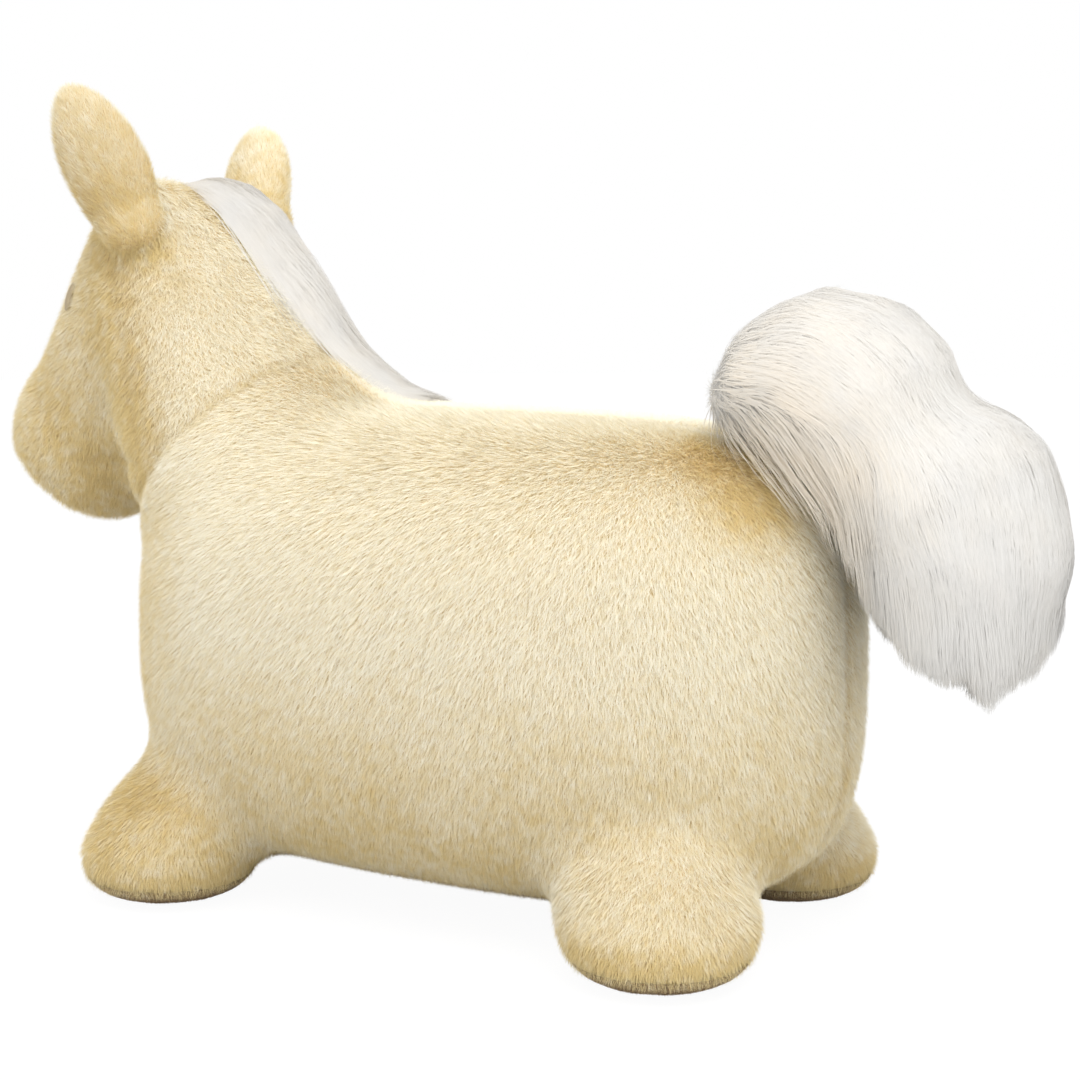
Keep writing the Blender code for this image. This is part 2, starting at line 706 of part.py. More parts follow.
def make_zip(guides, parts, tape, plastic, metal):
    """Two tapes with a row of teeth each, a stop at both ends, the slider and its pull."""
    half = TAPE_THICKNESS / 2
    reach = ZIP_HALF_LENGTH - TAPE_END_GAP
    inner, outer = TAPE_EDGES
    for side, sign in (("left", 1), ("right", -1)):
        edges = sorted((sign * inner, sign * outer))
        low = (edges[0], -reach, ZIP_LEVEL - half)
        high = (edges[1], reach, ZIP_LEVEL + half)
        block(f"zip_tape_{side}", low, high, parts, tape)
        shift = 0.0 if side == "left" else TOOTH_PITCH / 2 - 0.0001
        plate(f"zip_teeth_{side}", comb(sign, shift), TEETH_THICKNESS, parts, plastic)
    for end, middle in STOP_PLACES.items():
        low = (-STOP_HALF_WIDTH, middle - STOP_LENGTH / 2, ZIP_LEVEL - TEETH_THICKNESS / 2)
        high = (STOP_HALF_WIDTH, middle + STOP_LENGTH / 2, ZIP_LEVEL + TEETH_THICKNESS / 2)
        block(f"zip_stop_{end}", low, high, parts, metal)
    make_slider(guides, parts, metal)
    make_pull(guides, parts, metal)


def rod(name, radius, half_length, height, where, segments=16):
    """A round bar along X at the slider's place."""
    bm = bmesh.new()
    bmesh.ops.create_cone(
        bm,
        cap_ends=True,
        segments=segments,
        radius1=radius,
        radius2=radius,
        depth=2 * half_length,
        matrix=Matrix.Rotation(math.pi / 2, 4, "Y"),
    )
    bmesh.ops.translate(bm, verts=bm.verts, vec=(0, SLIDER_PLACE, height))
    return add_mesh(name, bm, where)


def make_slider(guides, parts, metal):
    """Two plates held apart by a thin web, with lips at their sides and a lug for the pull."""
    plate_in, plate_out = SLIDER_PLATE
    lip_in, lip_side = SLIDER_FLANGE
    front = SLIDER_PLACE - SLIDER_HALF_LENGTH
    back = SLIDER_PLACE + SLIDER_HALF_LENGTH
    web_low = (-SLIDER_WEB, SLIDER_PLACE - 0.001, ZIP_LEVEL - plate_in - 0.0002)
    web_high = (SLIDER_WEB, SLIDER_PLACE + 0.003, ZIP_LEVEL + plate_in + 0.0002)
    slider = block("zip_slider", web_low, web_high, parts, metal)
    pieces = []
    for number, way in enumerate((1, -1)):
        near, far = sorted((ZIP_LEVEL + way * plate_in, ZIP_LEVEL + way * plate_out))
        pieces.append(
            block(
                f"slider_plate_{number}",
                (-SLIDER_HALF_WIDTH, front, near),
                (SLIDER_HALF_WIDTH, back, far),
                guides,
            )
        )
        for sign in (1, -1):
            sides = sorted((sign * lip_side, sign * SLIDER_HALF_WIDTH))
            lip = sorted((ZIP_LEVEL + way * lip_in, ZIP_LEVEL + way * (plate_in + 0.0002)))
            pieces.append(
                block(
                    f"slider_lip_{number}_{sign}",
                    (sides[0], front, lip[0]),
                    (sides[1], back, lip[1]),
                    guides,
                )
            )
    pieces.append(
        block(
            "slider_lug",
            (-LUG_HALF_WIDTH, SLIDER_PLACE - LUG_HALF_LENGTH, PULL_AXIS - PULL_EYE_RADIUS / 2),
            (LUG_HALF_WIDTH, SLIDER_PLACE + LUG_HALF_LENGTH, ZIP_LEVEL - plate_in - 0.0006),
            guides,
        )
    )
    pieces.append(rod("slider_pin", PIN_RADIUS, PIN_HALF_LENGTH, PULL_AXIS, guides))
    for piece in pieces:
        cut(slider, piece, "UNION")
    settle(slider)


def make_pull(guides, parts, metal):
    """A forked tab whose two eyes ride on the slider's pin. It lies flat, pointing forwards."""
    eye = SLIDER_PLACE - PULL_EYE_RADIUS * 1.4
    low = (-PULL_HALF_WIDTH, SLIDER_PLACE - PULL_LENGTH, PULL_AXIS - PULL_THICKNESS / 2)
    high = (PULL_HALF_WIDTH, SLIDER_PLACE, PULL_AXIS + PULL_THICKNESS / 2)
    pull = block("zip_pull", low, high, parts, metal)
    cut(pull, rod("pull_eyes", PULL_EYE_RADIUS, PULL_HALF_WIDTH, PULL_AXIS, guides), "UNION")
    fork_low = (-PULL_FORK, eye, PULL_AXIS - 0.003)
    fork_high = (PULL_FORK, SLIDER_PLACE + 0.003, PULL_AXIS + 0.003)
    cut(pull, block("pull_fork", fork_low, fork_high, guides))
    cut(pull, rod("pull_holes", PULL_EYE_HOLE, PULL_HALF_WIDTH + 0.001, PULL_AXIS, guides))
    settle(pull)


def make_eyes(body_outside, guides, parts, thread):
    """Padded embroidery: an oval plate that follows each cheek."""
    low, high = EYE_RELIEF
    over = grown("eye_outside", body_outside, high, guides)
    under = grown("eye_inside", body_outside, low, guides)
    for side, sign in (("left", 1), ("right", -1)):
        facing = Vector((sign * EYE_FACING.x, EYE_FACING.y, EYE_FACING.z))
        across = Vector((0, 0, 1)).cross(facing).normalized()
        upward = facing.cross(across)
        turn = Matrix((across, upward, facing)).transposed().to_4x4()
        place = Vector((sign * EYE_PLACE.x, EYE_PLACE.y, EYE_PLACE.z))
        ring = list(oval(EYE_HALF_WIDTH, EYE_HALF_HEIGHT, 20))
        rings = [[point + Vector((0, 0, depth)) for point in ring] for depth in (-0.015, 0.015)]
        prism = skin(rings)
        bmesh.ops.transform(prism, matrix=Matrix.Translation(place) @ turn, verts=prism.verts)
        window = add_mesh(f"eye_{side}_window", prism, guides)
        name = f"eye_{side}"
        obj = add_object(name, over.data.copy(), guides)
        cut(obj, window, "INTERSECT", "MANIFOLD")
        cut(obj, under, "DIFFERENCE", "MANIFOLD")
        mesh = evaluated_mesh(obj)
        bpy.data.objects.remove(obj)
        largest_body(mesh)
        mesh.name = name
        add_object(name, mesh, parts, thread)


def seat(name, point):
    """Moves an object's own origin to a point, with its shape left where it is."""
    obj = bpy.data.objects[name]
    obj.data.transform(Matrix.Translation(obj.location - point))
    obj.location = point


def seat_on_joints():
    """Gives each moving piece its origin on the axis that it turns or slides on."""
    for side, pivot in EAR_PIVOT.items():
        for layer in ("outer", "inner", "stuffing"):
            seat(f"ear_{layer}_{side}", pivot)
    for name in ("tail_core", "tail_pile"):
        seat(name, TAIL_PIVOT)
    seat("zip_slider", Vector((0, SLIDER_PLACE, ZIP_LEVEL)))
    seat("zip_pull", Vector((0, SLIDER_PLACE, PULL_AXIS)))


def main():
    clear_scene()
    parts = collection("plush_pony_hopper")
    guides = collection("cutters")
    plush = material("cream_plush", (0.82, 0.74, 0.52), 0.9)
    short_plush = material("short_nap_plush", (0.42, 0.35, 0.24), 0.9)
    long_pile = material("white_long_pile", (0.90, 0.89, 0.86), 0.7)
    vinyl = material("bladder_vinyl", (0.75, 0.73, 0.66), 0.4)
    stuffing = material("polyester_stuffing", (0.88, 0.88, 0.86), 1.0)
    tape = material("zip_tape", (0.62, 0.54, 0.38), 0.9)
    plastic = material("zip_plastic", (0.78, 0.72, 0.58), 0.45)
    metal = material("painted_zinc", (0.70, 0.66, 0.56), 0.35, 1.0)
    thread = material("brown_thread", (0.16, 0.09, 0.04), 0.6)

    body = joined("body_form", [barrel(), loft(NECK_SECTIONS), loft(HEAD_SECTIONS)], guides)
    plump(body, BODY_VOXEL, BODY_SMOOTHING, BODY_FACES)
    shell = hollow("body_wall", body, COVER_THICKNESS, guides)
    sockets = {
        side: ball(f"ear_{side}_socket", EAR_PIVOT[side], EAR_SOCKET_RADIUS, guides)
        for side in EAR_PIVOT
    }
    legs = make_legs(body, guides, parts, plush, short_plush)
    make_body_cover(shell, legs, sockets, guides, parts, plush, short_plush)
    for side in EAR_PIVOT:
        make_ear(side, guides, parts, plush, stuffing)
    make_mane(body, guides, parts, long_pile)
    make_tail(body, guides, parts, long_pile, stuffing)
    make_bladder(body, guides, parts, vinyl)
    make_valve(parts, vinyl)
    make_zip(guides, parts, tape, plastic, metal)
    make_eyes(body, guides, parts, thread)
    seat_on_joints()
    for obj in parts.objects:
        obj.location += TO_ORIGIN


main()
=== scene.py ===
"""Looks of the plush pony hopper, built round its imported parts.

Metres, +Z up. The muzzle points to -Y and the animal's left side is +X.
"""

import math

import bmesh
import bpy
import numpy as np
from mathutils import Matrix, Vector, noise
from mathutils.bvhtree import BVHTree

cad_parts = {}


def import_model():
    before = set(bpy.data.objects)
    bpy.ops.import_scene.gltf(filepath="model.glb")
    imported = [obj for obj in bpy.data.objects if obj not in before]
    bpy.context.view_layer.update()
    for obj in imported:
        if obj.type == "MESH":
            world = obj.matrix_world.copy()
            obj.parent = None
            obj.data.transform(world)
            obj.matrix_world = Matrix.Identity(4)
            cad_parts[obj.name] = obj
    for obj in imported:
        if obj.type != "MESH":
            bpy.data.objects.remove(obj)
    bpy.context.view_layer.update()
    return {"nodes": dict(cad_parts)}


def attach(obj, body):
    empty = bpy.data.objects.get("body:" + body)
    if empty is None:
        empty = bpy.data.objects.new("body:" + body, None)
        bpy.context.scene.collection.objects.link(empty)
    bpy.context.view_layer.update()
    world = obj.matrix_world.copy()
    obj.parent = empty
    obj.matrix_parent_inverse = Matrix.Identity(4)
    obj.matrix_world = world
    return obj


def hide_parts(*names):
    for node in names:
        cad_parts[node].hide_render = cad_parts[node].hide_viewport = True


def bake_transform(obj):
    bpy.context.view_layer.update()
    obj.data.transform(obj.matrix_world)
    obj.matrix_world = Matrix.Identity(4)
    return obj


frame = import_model()

# From the middle of the body, where the forms are laid out, to the part's own origin
TO_ORIGIN = Vector((0, -0.008, 0))

# The barrel of the body. Each fullness is the power of a rounded oval: 2 is an ellipse
BACK_HEIGHT = 0.287
BELLY_HEIGHT = 0.0105
BARREL_FRONT = -0.199
BARREL_REAR = 0.236
BARREL_MIDDLE = 0.142
BARREL_HALF_WIDTH = 0.136
BACK_FULLNESS = 4.2
BELLY_FULLNESS = 3.8
CHEST_FULLNESS = 3.0
RUMP_FULLNESS = 2.35
SECTION_FULLNESS = 2.6
BARREL_RINGS = 28
RING_POINTS = 32
BODY_VOXEL = 0.008
BODY_SMOOTHING = 14

# Neck and head: centre y, centre z, lean from upright in degrees, half depth, half width
NECK_SECTIONS = (
    (-0.070, 0.170, 10, 0.115, 0.112),
    (-0.122, 0.229, 28, 0.093, 0.106),
    (-0.160, 0.279, 32, 0.072, 0.094),
    (-0.185, 0.329, 31, 0.064, 0.083),
    (-0.203, 0.369, 26, 0.059, 0.073),
    (-0.212, 0.401, 22, 0.045, 0.052),
)
HEAD_SECTIONS = (
    (-0.186, 0.384, 130, 0.045, 0.050),
    (-0.201, 0.355, 132, 0.066, 0.070),
    (-0.226, 0.314, 136, 0.063, 0.068),
    (-0.253, 0.277, 138, 0.057, 0.061),
    (-0.275, 0.248, 140, 0.060, 0.061),
    (-0.294, 0.224, 140, 0.047, 0.048),
)

# Seams of the body cover: a point on each seam plane and the side that it faces
SEAM_COLLAR = (Vector((0, -0.205, 0.2055)), Vector((0, -1, 1)).normalized())
SEAM_CHEEK = (Vector((0, -0.172, 0.260)), Vector((0, -1, -0.307)).normalized())
SEAM_MUZZLE = (Vector((0, -0.246, 0.245)), Vector((0, -0.80, -0.60)).normalized())
SEAM_JAW = (Vector((0, -0.220, 0.246)), Vector((0, 0.15, -1)).normalized())
SEAM_BELLY = (Vector((0, 0, 0.030)), Vector((0, 0, -1)))
SEAM_MIDDLE = (Vector((0, 0, 0)), Vector((1, 0, 0)))
FOREHEAD_HALF_WIDTH = 0.020
REARWARD = Vector((0, 1, 0))

# Where each long flank panel is cut, because one piece would hold too many hairs
FLANK_CUTS = ((Vector((0, -0.075, 0)), REARWARD), (Vector((0, 0.080, 0)), REARWARD))

# Half the width and half the length of the zip's opening
ZIP_HALF_OPENING = Vector((0.0085, 0.124, 0))

# Stub legs: where the foot stands, then height, radius and the share of the lean
REAR_FOOT = (0.087, 0.163)
FRONT_FOOT = (0.090, -0.152)
LEG_LEAN_IN = 0.12
LEG_LEAN_ALONG = 0.10
LEG_POINTS = 32
LEG_SECTIONS = (
    (0.000, 0.0390, 0.00),
    (0.004, 0.0455, 0.00),
    (0.014, 0.0540, 0.00),
    (0.032, 0.0588, 0.03),
    (0.055, 0.0570, 0.11),
    (0.080, 0.0515, 0.22),
    (0.103, 0.0440, 0.34),
    (0.122, 0.0330, 0.38),
    (0.133, 0.0160, 0.42),
)
SOLE_THICKNESS = 0.011
SOLE_SINK = 0.0040

# Ears: places, the balls at the root and towards the head, then height, half width, half thickness
EAR_PIVOT = {"left": Vector((0.0595, -0.1905, 0.385)), "right": Vector((-0.0595, -0.1905, 0.385))}
EAR_TIP = {"left": Vector((0.092, -0.213, 0.466)), "right": Vector((-0.103, -0.220, 0.446))}
EAR_FACING = {"left": Vector((0.86, 0.51, 0)), "right": Vector((-0.99, 0.02, 0))}
EAR_ROOT_RADIUS = 0.0255
EAR_WEB_PLACE = Vector((0.040, -0.186, 0.398))
EAR_WEB_RADIUS = 0.022
EAR_SECTIONS = (
    (0.000, 0.0235, 0.0200),
    (0.014, 0.0262, 0.0200),
    (0.030, 0.0280, 0.0195),
    (0.045, 0.0270, 0.0180),
    (0.058, 0.0236, 0.0155),
    (0.069, 0.0178, 0.0120),
    (0.077, 0.0104, 0.0078),
    (0.080, 0.0042, 0.0035),
)
EAR_POINTS = 20
EAR_VOXEL = 0.0035

# Tail: its two lobes as sections like the neck's
TAIL_RAISED_LOBE = (
    (0.163, 0.284, -45, 0.020, 0.030),
    (0.185, 0.299, -62, 0.037, 0.046),
    (0.214, 0.304, -85, 0.051, 0.054),
    (0.240, 0.297, -103, 0.052, 0.056),
    (0.262, 0.284, -118, 0.042, 0.048),
    (0.278, 0.270, -128, 0.022, 0.028),
)
TAIL_HANGING_LOBE = (
    (0.238, 0.285, -100, 0.030, 0.040),
    (0.262, 0.272, -120, 0.046, 0.050),
    (0.284, 0.248, -145, 0.056, 0.056),
    (0.292, 0.216, -168, 0.056, 0.055),
    (0.290, 0.182, -180, 0.049, 0.047),
    (0.288, 0.149, -184, 0.026, 0.030),
)

TAIL_VOXEL = 0.006

# Two points along the tail's pile, where it starts off the rump and further back
TAIL_BEND = (Vector((0, 0.146, 0.284)), Vector((0, 0.204, 0.296)))

# The fold across the tail between its lobes, as y and z, with how deep and how wide it is
TAIL_FOLD = (0.286, 0.297)
TAIL_FOLD_DEPTH = 0.010
TAIL_FOLD_REACH = 0.017

# Its hair: each layer's strands, how deep they root and how far they gather into locks
TAIL_LAYERS = (("under", 12500, (0.001, 0.006), 0.25), ("over", 15500, (0, 0.002), 0.55))
TAIL_GROUND = {"length": 0.014, "hairs_per_m2": 1500000, "lift": 0.18}
# A warm tint round the tail's root that is also painted light: the hair there is made brighter to lift its
# shade.
TAIL_WARM_PAINTED_LIGHT_SPOT = Vector((0.040, 0.190, 0.270))

# How low the tail's hair ends, from its left edge in the photograph to its right edge
TAIL_ENDS = (
    (0.139, 0.262),
    (0.157, 0.240),
    (0.176, 0.222),
    (0.187, 0.208),
    (0.200, 0.190),
    (0.207, 0.177),
    (0.213, 0.170),
    (0.240, 0.157),
    (0.250, 0.151),
    (0.256, 0.147),
    (0.264, 0.155),
    (0.279, 0.160),
    (0.297, 0.176),
    (0.305, 0.200),
)

# Mane: how low its bed of hair reaches, as a point and a facing
MANE_LOW = (Vector((0, -0.120, 0.292)), Vector((0, -0.64, -0.77)).normalized())
MANE_THICKNESS = 0.0055
MANE_STRANDS = 7000

# Left end of the mane's roots for each y, and how high the hair stands over the crest for each z
MANE_ROOT = (
    (-0.206, 0.004),
    (-0.190, 0.022),
    (-0.178, 0.0265),
    (-0.168, 0.026),
    (-0.156, 0.021),
    (-0.148, 0.0145),
    (-0.140, 0.0055),
    (-0.130, 0.001),
    (-0.118, -0.001),
    (-0.105, -0.0035),
    (-0.093, -0.0085),
    (-0.083, -0.020),
    (-0.070, -0.028),
)
MANE_ROOT_WIDTH = 0.034
MANE_HEIGHT = (
    (0.285, 0.0015),
    (0.309, 0.0020),
    (0.322, 0.0055),
    (0.344, 0.0100),
    (0.362, 0.0098),
    (0.377, 0.0070),
    (0.391, 0.0060),
    (0.396, 0.0025),
    (0.403, 0.0012),
    (0.411, 0.0010),
    (0.416, 0.0030),
)

# Embroidered eyes
EYE_PLACE = Vector((0.0549, -0.2512, 0.344))
EYE_FACING = Vector((0.62, -0.72, 0.30)).normalized()
EYE_HALF_HEIGHT = 0.0088
EYE_HALF_WIDTH = 0.0032
EYE_STITCHES = 44
EYE_SINK = 0.0032

# The sewn cover: how far its parts run into each other, and how the seams draw it in
COVER_VOXEL = 0.005
LEG_FLARE = 0.022
EAR_FLARE = 0.034
FLARE_ROUNDS = 70
EAR_COLLAR = 0.018
SEAM_DEPTH = 0.0040
SEAM_REACH = 0.0060

# Fur: how deep the backing lies under the tips of the pile, and the hair itself
PILE_DEPTH = 0.0060
HEM_HEIGHT = 0.0035
HAIR_LENGTH = 0.0080
HAIR_WIDTH = 0.00038
HAIRS_PER_M2 = 2150000
HAIR_TRANSLUCENCY = 0.35
HEAD_FUR = {"swirl": 1.1, "tangle": 0.75}
BELLY_NAP = {"length": 0.005, "lift": 0.8}
SOLE_NAP = {"length": 0.0014, "lift": 0.5, "width": 0.0003, "hairs_per_m2": 3000000}

# Photograph's camera, found from the object's outline
VIEW_AZIMUTH = math.radians(118.85)
VIEW_ELEVATION = math.radians(8.57)
CAMERA_PLACE = Vector((1.0998, 0.6424, 0.3992))
LENS_MM = 75.0
SENSOR_MM = 36.0
SKY_STRENGTH = 0.82
KEY_WATTS = 22.0
FILL_WATTS = 3.6
REAR_WATTS = 3.4


def add_node(tree, kind, inputs=None, **settings):
    """A node with its settings. Each input is found by identifier or number, and linked or set."""
    made = tree.nodes.new(kind)
    for name, value in settings.items():
        setattr(made, name, value)
    for key, value in (inputs or {}).items():
        numbered = isinstance(key, int)
        socket = made.inputs[key] if numbered else next(s for s in made.inputs if s.identifier == key)
        if isinstance(value, bpy.types.Node):
            value = value.outputs[0]
        if isinstance(value, bpy.types.NodeSocket):
            tree.links.new(value, socket)
        else:
            socket.default_value = value
    return made


def maths(tree, operation, first, second=0.0, third=0.0):
    inputs = {0: first, 1: second, 2: third}
    return add_node(tree, "ShaderNodeMath", inputs, operation=operation).outputs[0]


def vector_maths(tree, operation, first, second=(0.0, 0.0, 0.0), scale=1.0):
    inputs = {0: first, 1: second, 3: scale}
    made = add_node(tree, "ShaderNodeVectorMath", inputs, operation=operation)
    return made.outputs[1] if operation == "DOT_PRODUCT" else made.outputs[0]


def add_port(tree, name, kind, value=None, way="INPUT"):
    socket = tree.interface.new_socket(name, in_out=way, socket_type="NodeSocket" + kind)
    if value is not None:
        socket.default_value = value


def add_object(name, mesh):
    obj = bpy.data.objects.new(name, mesh)
    bpy.context.scene.collection.objects.link(obj)
    return obj


def mesh_of(name, bm):
    mesh = bpy.data.meshes.new(name)
    bm.to_mesh(mesh)
    bm.free()
    return mesh


def settled(obj):
    """The mesh that an object's modifiers make. The object itself is taken away."""
    bpy.context.view_layer.update()
    graph = bpy.context.evaluated_depsgraph_get()
    mesh = bpy.data.meshes.new_from_object(obj.evaluated_get(graph))
    bpy.data.objects.remove(obj)
    return mesh


def rows_of(items, field, width, kind=float):
    flat = np.empty(len(items) * width, kind)
    items.foreach_get(field, flat)
    return flat.reshape(-1, width)


def surface_of(mesh):
    """The points of a mesh and which way it faces at each."""
    return rows_of(mesh.vertices, "co", 3), rows_of(mesh.vertex_normals, "vector", 3)


def store(mesh, **layers):
    """Keeps a number or a vector for each vertex under each name."""
    for name, values in layers.items():
        values = np.asarray(values, np.float32)
        kind, field = ("FLOAT_VECTOR", "vector") if values.ndim == 2 else ("FLOAT", "value")
        mesh.attributes.new(name, kind, "POINT").data.foreach_set(field, values.ravel())


def reshape(mesh, points):
    mesh.vertices.foreach_set("co", points.ravel())
    mesh.update()


def signed_power(value, power):
    return math.copysign(abs(value) ** power, value)


def rounded(share, fullness):
    """How far a rounded oval still reaches at a share of its length from the middle."""
    return max(0.0, 1 - abs(share) ** fullness) ** (1 / fullness)


def oval(half_width, half_depth, points=RING_POINTS, fullness=2.0):
    """The points of a rounded oval in the plane z = 0."""
    power = 2 / fullness
    for step in range(points):
        angle = 2 * math.pi * step / points
        across = signed_power(math.cos(angle), power)
        along = signed_power(math.sin(angle), power)
        yield Vector((half_width * across, half_depth * along, 0))


def skin(rings):
    """A closed skin through rings of points, with a flat end on the first and the last."""
    bm = bmesh.new()
    loops = [[bm.verts.new(point) for point in ring] for ring in rings]
    for lower, upper in zip(loops, loops[1:]):
        for step in range(len(lower)):
            after = (step + 1) % len(lower)
            bm.faces.new((lower[step], lower[after], upper[after], upper[step]))
    bm.faces.new(loops[0])
    bm.faces.new(loops[-1])
    bmesh.ops.recalc_face_normals(bm, faces=bm.faces)
    return bm


def barrel():
    """The body: full at the back and the rump, tucked in under the belly."""
    half_length = (BARREL_REAR - BARREL_FRONT) / 2
    centre = (BARREL_REAR + BARREL_FRONT) / 2
    upright = Matrix.Rotation(math.pi / 2, 4, "X")
    rings = []
    for step in range(BARREL_RINGS + 1):
        share = -0.999 * math.cos(math.pi * step / BARREL_RINGS)
        side_fullness = CHEST_FULLNESS if share < 0 else RUMP_FULLNESS
        top = BARREL_MIDDLE + (BACK_HEIGHT - BARREL_MIDDLE) * rounded(share, BACK_FULLNESS)
        low = BARREL_MIDDLE + (BELLY_HEIGHT - BARREL_MIDDLE) * rounded(share, BELLY_FULLNESS)
        width = BARREL_HALF_WIDTH * rounded(share, side_fullness)
        middle = Vector((0, centre + share * half_length, (top + low) / 2))
        ring = oval(width, (top - low) / 2, fullness=SECTION_FULLNESS)
        rings.append([middle + upright @ point for point in ring])
    return skin(rings)


def loft(sections):
    """A closed skin through ovals that stand square to a path in the plane x = 0."""
    rings = []
    for y, z, lean, half_depth, half_width in sections:
        turn = Matrix.Rotation(math.radians(lean), 4, "X")
        ring = oval(half_width, half_depth)
        rings.append([Vector((0, y, z)) + turn @ point for point in ring])
    return skin(rings)


def leg(foot, side):
    """A stub leg: a broad flat foot that leans in and narrows up into the body."""
    x, y = foot
    rings = []
    for height, radius, inward in LEG_SECTIONS:
        along = y - math.copysign(LEG_LEAN_ALONG * inward, y)
        centre = Vector((side * (x - LEG_LEAN_IN * inward), along, height))
        rings.append([centre + point for point in oval(radius, radius, LEG_POINTS)])
    return skin(rings)


def ear_axes(side):
    """The ear's own frame: up to its tip, with its thin way towards where it faces."""
    upward = (EAR_TIP[side] - EAR_PIVOT[side]).normalized()
    across = upward.cross(EAR_FACING[side]).normalized()
    facing = across.cross(upward).normalized()
    turn = Matrix((across, facing, upward)).transposed().to_4x4()
    return Matrix.Translation(EAR_PIVOT[side]) @ turn


def ball(radius, matrix):
    bm = bmesh.new()
    bmesh.ops.create_uvsphere(bm, u_segments=20, v_segments=12, radius=radius, matrix=matrix)
    return bm


def ear_shapes(side):
    """A round root and a leaf above it, which a remesh fuses."""
    axes = ear_axes(side)
    stretch = (EAR_TIP[side] - EAR_PIVOT[side]).length / EAR_SECTIONS[-1][0]
    rings = []
    for height, half_width, half_depth in EAR_SECTIONS:
        level = Vector((0, 0, height * stretch))
        rings.append([axes @ (level + point) for point in oval(half_width, half_depth, EAR_POINTS)])
    return [skin(rings), ball(EAR_ROOT_RADIUS, axes)]


def joined(name, shapes):
    """Overlapping skins in one mesh, in their place on the finished part."""
    bm = bmesh.new()
    for shape in shapes:
        piece = mesh_of("shape", shape)
        bm.from_mesh(piece)
        bpy.data.meshes.remove(piece)
    bmesh.ops.translate(bm, verts=bm.verts, vec=TO_ORIGIN)
    return mesh_of(name, bm)


def plump(mesh, voxel, rounds, fineness=0):
    """The mesh's outside grown into one smooth form."""
    obj = add_object(mesh.name, mesh)
    remesh = obj.modifiers.new("fuse", "REMESH")
    remesh.mode = "VOXEL"
    remesh.voxel_size = voxel
    swell = obj.modifiers.new("swell", "SMOOTH")
    swell.factor = 0.5
    swell.iterations = rounds
    if fineness:
        finer = obj.modifiers.new("finer", "SUBSURF")
        finer.levels = fineness
        finer.render_levels = fineness
    return settled(obj)


def together(name, meshes):
    bm = bmesh.new()
    for mesh in meshes:
        bm.from_mesh(mesh)
    return mesh_of(name, bm)


def relaxed(points, edges, weights, rounds):
    """Points drawn towards the mean of their neighbours, each by its own weight."""
    count = np.bincount(edges.ravel(), minlength=len(points))[:, None]
    for _ in range(rounds):
        total = np.zeros_like(points)
        np.add.at(total, edges[:, 0], points[edges[:, 1]])
        np.add.at(total, edges[:, 1], points[edges[:, 0]])
        points = points + weights[:, None] * (total / count - points)
    return points


def tree_of(mesh):
    """A search tree of a mesh's faces."""
    return BVHTree.FromPolygons([v.co for v in mesh.vertices], [p.vertices for p in mesh.polygons])


def height_over(tree, points):
    """How far each point stands over a closed form. It is negative inside."""
    heights = np.empty(len(points))
    for index, point in enumerate(points):
        near, normal, _, distance = tree.find_nearest(point)
        outside = (Vector(point) - near).dot(normal) >= 0
        heights[index] = distance if outside else -distance
    return heights


def heights_over(trees, points):
    return np.stack([height_over(tree, points) for tree in trees])


def distance_to_plane(points, seam):
    point, facing = seam
    return (points - np.array(point + TO_ORIGIN)) @ np.array(facing)


def hollowed(distances, reach=SEAM_REACH):
    """How much of a seam's full depth is felt at each distance from it."""
    return np.exp(-((distances / reach) ** 2))


def near_spot(points, place, reach):
    """From 1 at a place down to 0 away from it, on both sides of the animal."""
    mirrored = points.copy()
    mirrored[:, 0] = np.abs(mirrored[:, 0])
    away = np.linalg.norm(mirrored - np.array(place + TO_ORIGIN), axis=1)
    return np.exp(-((away / reach) ** 2))


def mottle(points, scale):
    """Soft patches from about -1 to 1."""
    return np.array([noise.fractal(Vector(p) * scale, 0.8, 2.0, 3) for p in points])


def eddies(points, scale):
    """A way for each point that turns slowly from one place to the next."""
    return np.array([noise.noise_vector(Vector(p) * scale) for p in points])


def kept(mesh, planes):
    """What of a mesh lies behind every plane."""
    bm = bmesh.new()
    bm.from_mesh(mesh)
    for point, outward in planes:
        everything = bm.verts[:] + bm.edges[:] + bm.faces[:]
        bmesh.ops.bisect_plane(
            bm, geom=everything, plane_co=point + TO_ORIGIN, plane_no=outward, clear_outer=True
        )
    return mesh_of(mesh.name, bm)


def chosen(mesh, faces):
    """Those faces of a mesh, with what is stored on their points."""
    bm = bmesh.new()
    bm.from_mesh(mesh)
    bm.faces.ensure_lookup_table()
    rest = [face for face, wanted in zip(bm.faces, faces) if not wanted]
    bmesh.ops.delete(bm, geom=rest, context="FACES")
    return mesh_of(mesh.name, bm)


def before(seam):
    """The side of a seam that it faces, as a plane to keep what lies behind."""
    point, facing = seam
    return point, -facing


